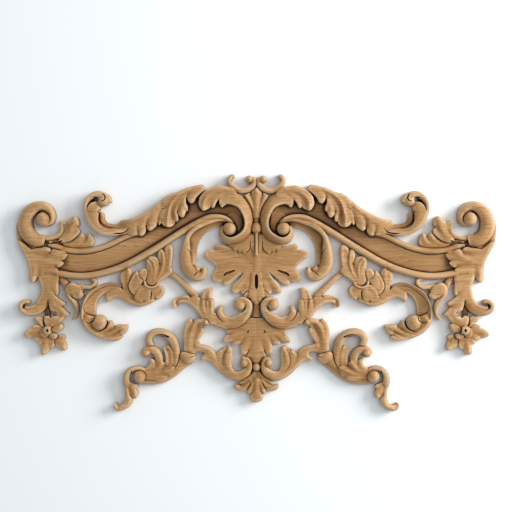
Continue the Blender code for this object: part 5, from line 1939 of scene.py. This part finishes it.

# %% [markdown]
# ## Oak's colours
#
# The colour is built up in layers: each layer is laid over the last by its mask and its strength.
# Streaks, rings, pores and flecks are the wood's own. The last four layers are partly wear, stain
# and dark filler and partly painted highlight, painted shade and painted shadow. Pores and the
# darkest grooves are also rougher than the waxed wood between them.

# %% Oak's colours
PALE = (0.545, 0.318, 0.14, 1)
HONEY = (0.43, 0.232, 0.086, 1)
LATE = (0.31, 0.15, 0.05, 1)
PORE = (0.17, 0.075, 0.021, 1)
# dark brown, for stain in the hollows and for painted shade in hollows and grooves
STAIN_AND_SHADE = (0.15, 0.052, 0.008, 1)
# near black, for painted shadow in slits and the deepest grooves, with some dark filler
SHADOW_AND_FILLER = (0.026, 0.008, 0.002, 1)
# pale, for wear on the arrises and a painted highlight where they catch the light
WEAR_AND_HIGHLIGHT = (0.74, 0.55, 0.355, 1)
# the last four rows paint highlight on arrises and shade and shadow in hollows and grooves, as well as
# wear, stain and filler
layers = [
    (streak, 0.4, LATE),
    (ring, 0.42, LATE),
    (pores, 0.6, PORE),
    (fleck, 0.16, PALE),
    (wear_and_highlight, 0.36, WEAR_AND_HIGHLIGHT),
    (stain_and_shade, 0.56, STAIN_AND_SHADE),
    (shaded, 0.85, STAIN_AND_SHADE),
    (filler_and_shadow, 0.95, SHADOW_AND_FILLER),
]
wood = recipe.mixed(tone, HONEY, PALE)
for mask, strength, colour in layers:
    wood = recipe.mixed(mask * strength, wood, colour)
WAXED = 0.5  # roughness between the pores
GLOSS = 0.3
relief = streak * 0.35 + ring * 0.3 - pores * 0.8
bumps = {"Strength": 0.5, "Distance": 0.0004, "Height": relief}
recipe.feed(recipe.shader.inputs["Base Color"], wood)
recipe.feed(recipe.shader.inputs["Roughness"], WAXED + pores * 0.2 + filler_and_shadow * 0.3)
recipe.feed(recipe.shader.inputs["Specular IOR Level"], GLOSS)
recipe.feed(recipe.shader.inputs["Normal"], recipe.node("ShaderNodeBump", None, bumps))
print("oak:", len(recipe.tree.nodes), "nodes")

# %% [markdown]
# ## Wall
#
# The pediment hangs on a plain pale wall. The wall stands half a millimetre in front of the flat
# back, so that the back can be seen from behind.

# %% Wall
WALL_PLACE = -0.0005
REACH = 4.0  # in metres, from the middle to each side
PAINT = (0.9, 0.935, 0.95, 1)
PAINT_ROUGHNESS = 0.9
corners = [(x * REACH, WALL_PLACE, z * REACH) for x, z in ((-1, -1), (1, -1), (1, 1), (-1, 1))]
wall_mesh = bpy.data.meshes.new("wall")
wall_mesh.from_pydata(corners, [], [(0, 1, 2, 3)])
wall = add_object("wall", wall_mesh)
paint = bpy.data.materials.new("wall paint")
wall_recipe = Recipe(paint)
wall_recipe.feed(wall_recipe.shader.inputs["Base Color"], PAINT)
wall_recipe.feed(wall_recipe.shader.inputs["Roughness"], PAINT_ROUGHNESS)
wall_mesh.materials.append(paint)
print("wall:", REACH * 2, "m wide")

# %% [markdown]
# ## Lights
#
# A broad soft light stands to the right and a little above, and gives the relief its shade. A second
# one fills in from the front, a third lights the back, and the pale world softens every shadow.


# %% Lights
LAMPS = {  # place in metres, size in metres, watts and colour
    "key": ((2.3, -1.35, 0.9), 1.45, 80, (1.0, 0.985, 0.965)),
    "fill": ((0.9, -3.0, 0.5), 1.6, 22, (1, 1, 1)),
    "back": ((-0.8, 2.6, 1.2), 1.6, 60, (1, 1, 1)),
}
SKY = (0.9, 0.95, 1.0, 1)
SKY_STRENGTH = 0.5


def area_light(name, place, size, watts, colour):
    """A square soft light that looks at the middle of the pediment."""
    lamp = bpy.data.lights.new(name, "AREA")
    lamp.energy = watts
    lamp.shape = "SQUARE"
    lamp.size = size
    lamp.color = colour
    obj = add_object(name, lamp)
    obj.location = place
    obj.rotation_euler = (-Vector(place)).to_track_quat("-Z", "Y").to_euler()


for name, settings in LAMPS.items():
    area_light(name, *settings)
world = bpy.context.scene.world or bpy.data.worlds.new("World")
bpy.context.scene.world = world
world.use_nodes = True
background = world.node_tree.nodes["Background"]
background.inputs["Color"].default_value = SKY
background.inputs["Strength"].default_value = SKY_STRENGTH
bpy.context.scene.view_settings.view_transform = "Standard"

# %% [markdown]
# ## Camera
#
# The photograph looks straight at the front, so the camera does too. The lens is worked out so that
# the flat back has the photograph's scale at the camera's distance.

# %% Camera
MM_PER_PIXEL = 1.674
FRAME_PIXELS = 512
LEVEL_ROW = 292  # the row of pixels that lies at z = 0
MIDDLE_X = -0.0007  # the picture's middle, in metres
DISTANCE = 2.6
SENSOR = 36  # in mm
lens = bpy.data.cameras.new("camera")
lens.sensor_width = SENSOR
lens.lens = SENSOR * DISTANCE / (MM_PER_PIXEL * FRAME_PIXELS * MM)
camera = add_object("camera", lens)
camera_height = (LEVEL_ROW - FRAME_PIXELS / 2) * MM_PER_PIXEL * MM
camera.location = (MIDDLE_X, -DISTANCE, camera_height)
camera.rotation_euler = (math.radians(90), 0, 0)
bpy.context.scene.camera = camera
print("lens:", round(lens.lens, 1), "mm")

# %% [markdown]
# ## The box
#
# The dressed model fills the packed model's box, because it was stretched to meet it above.
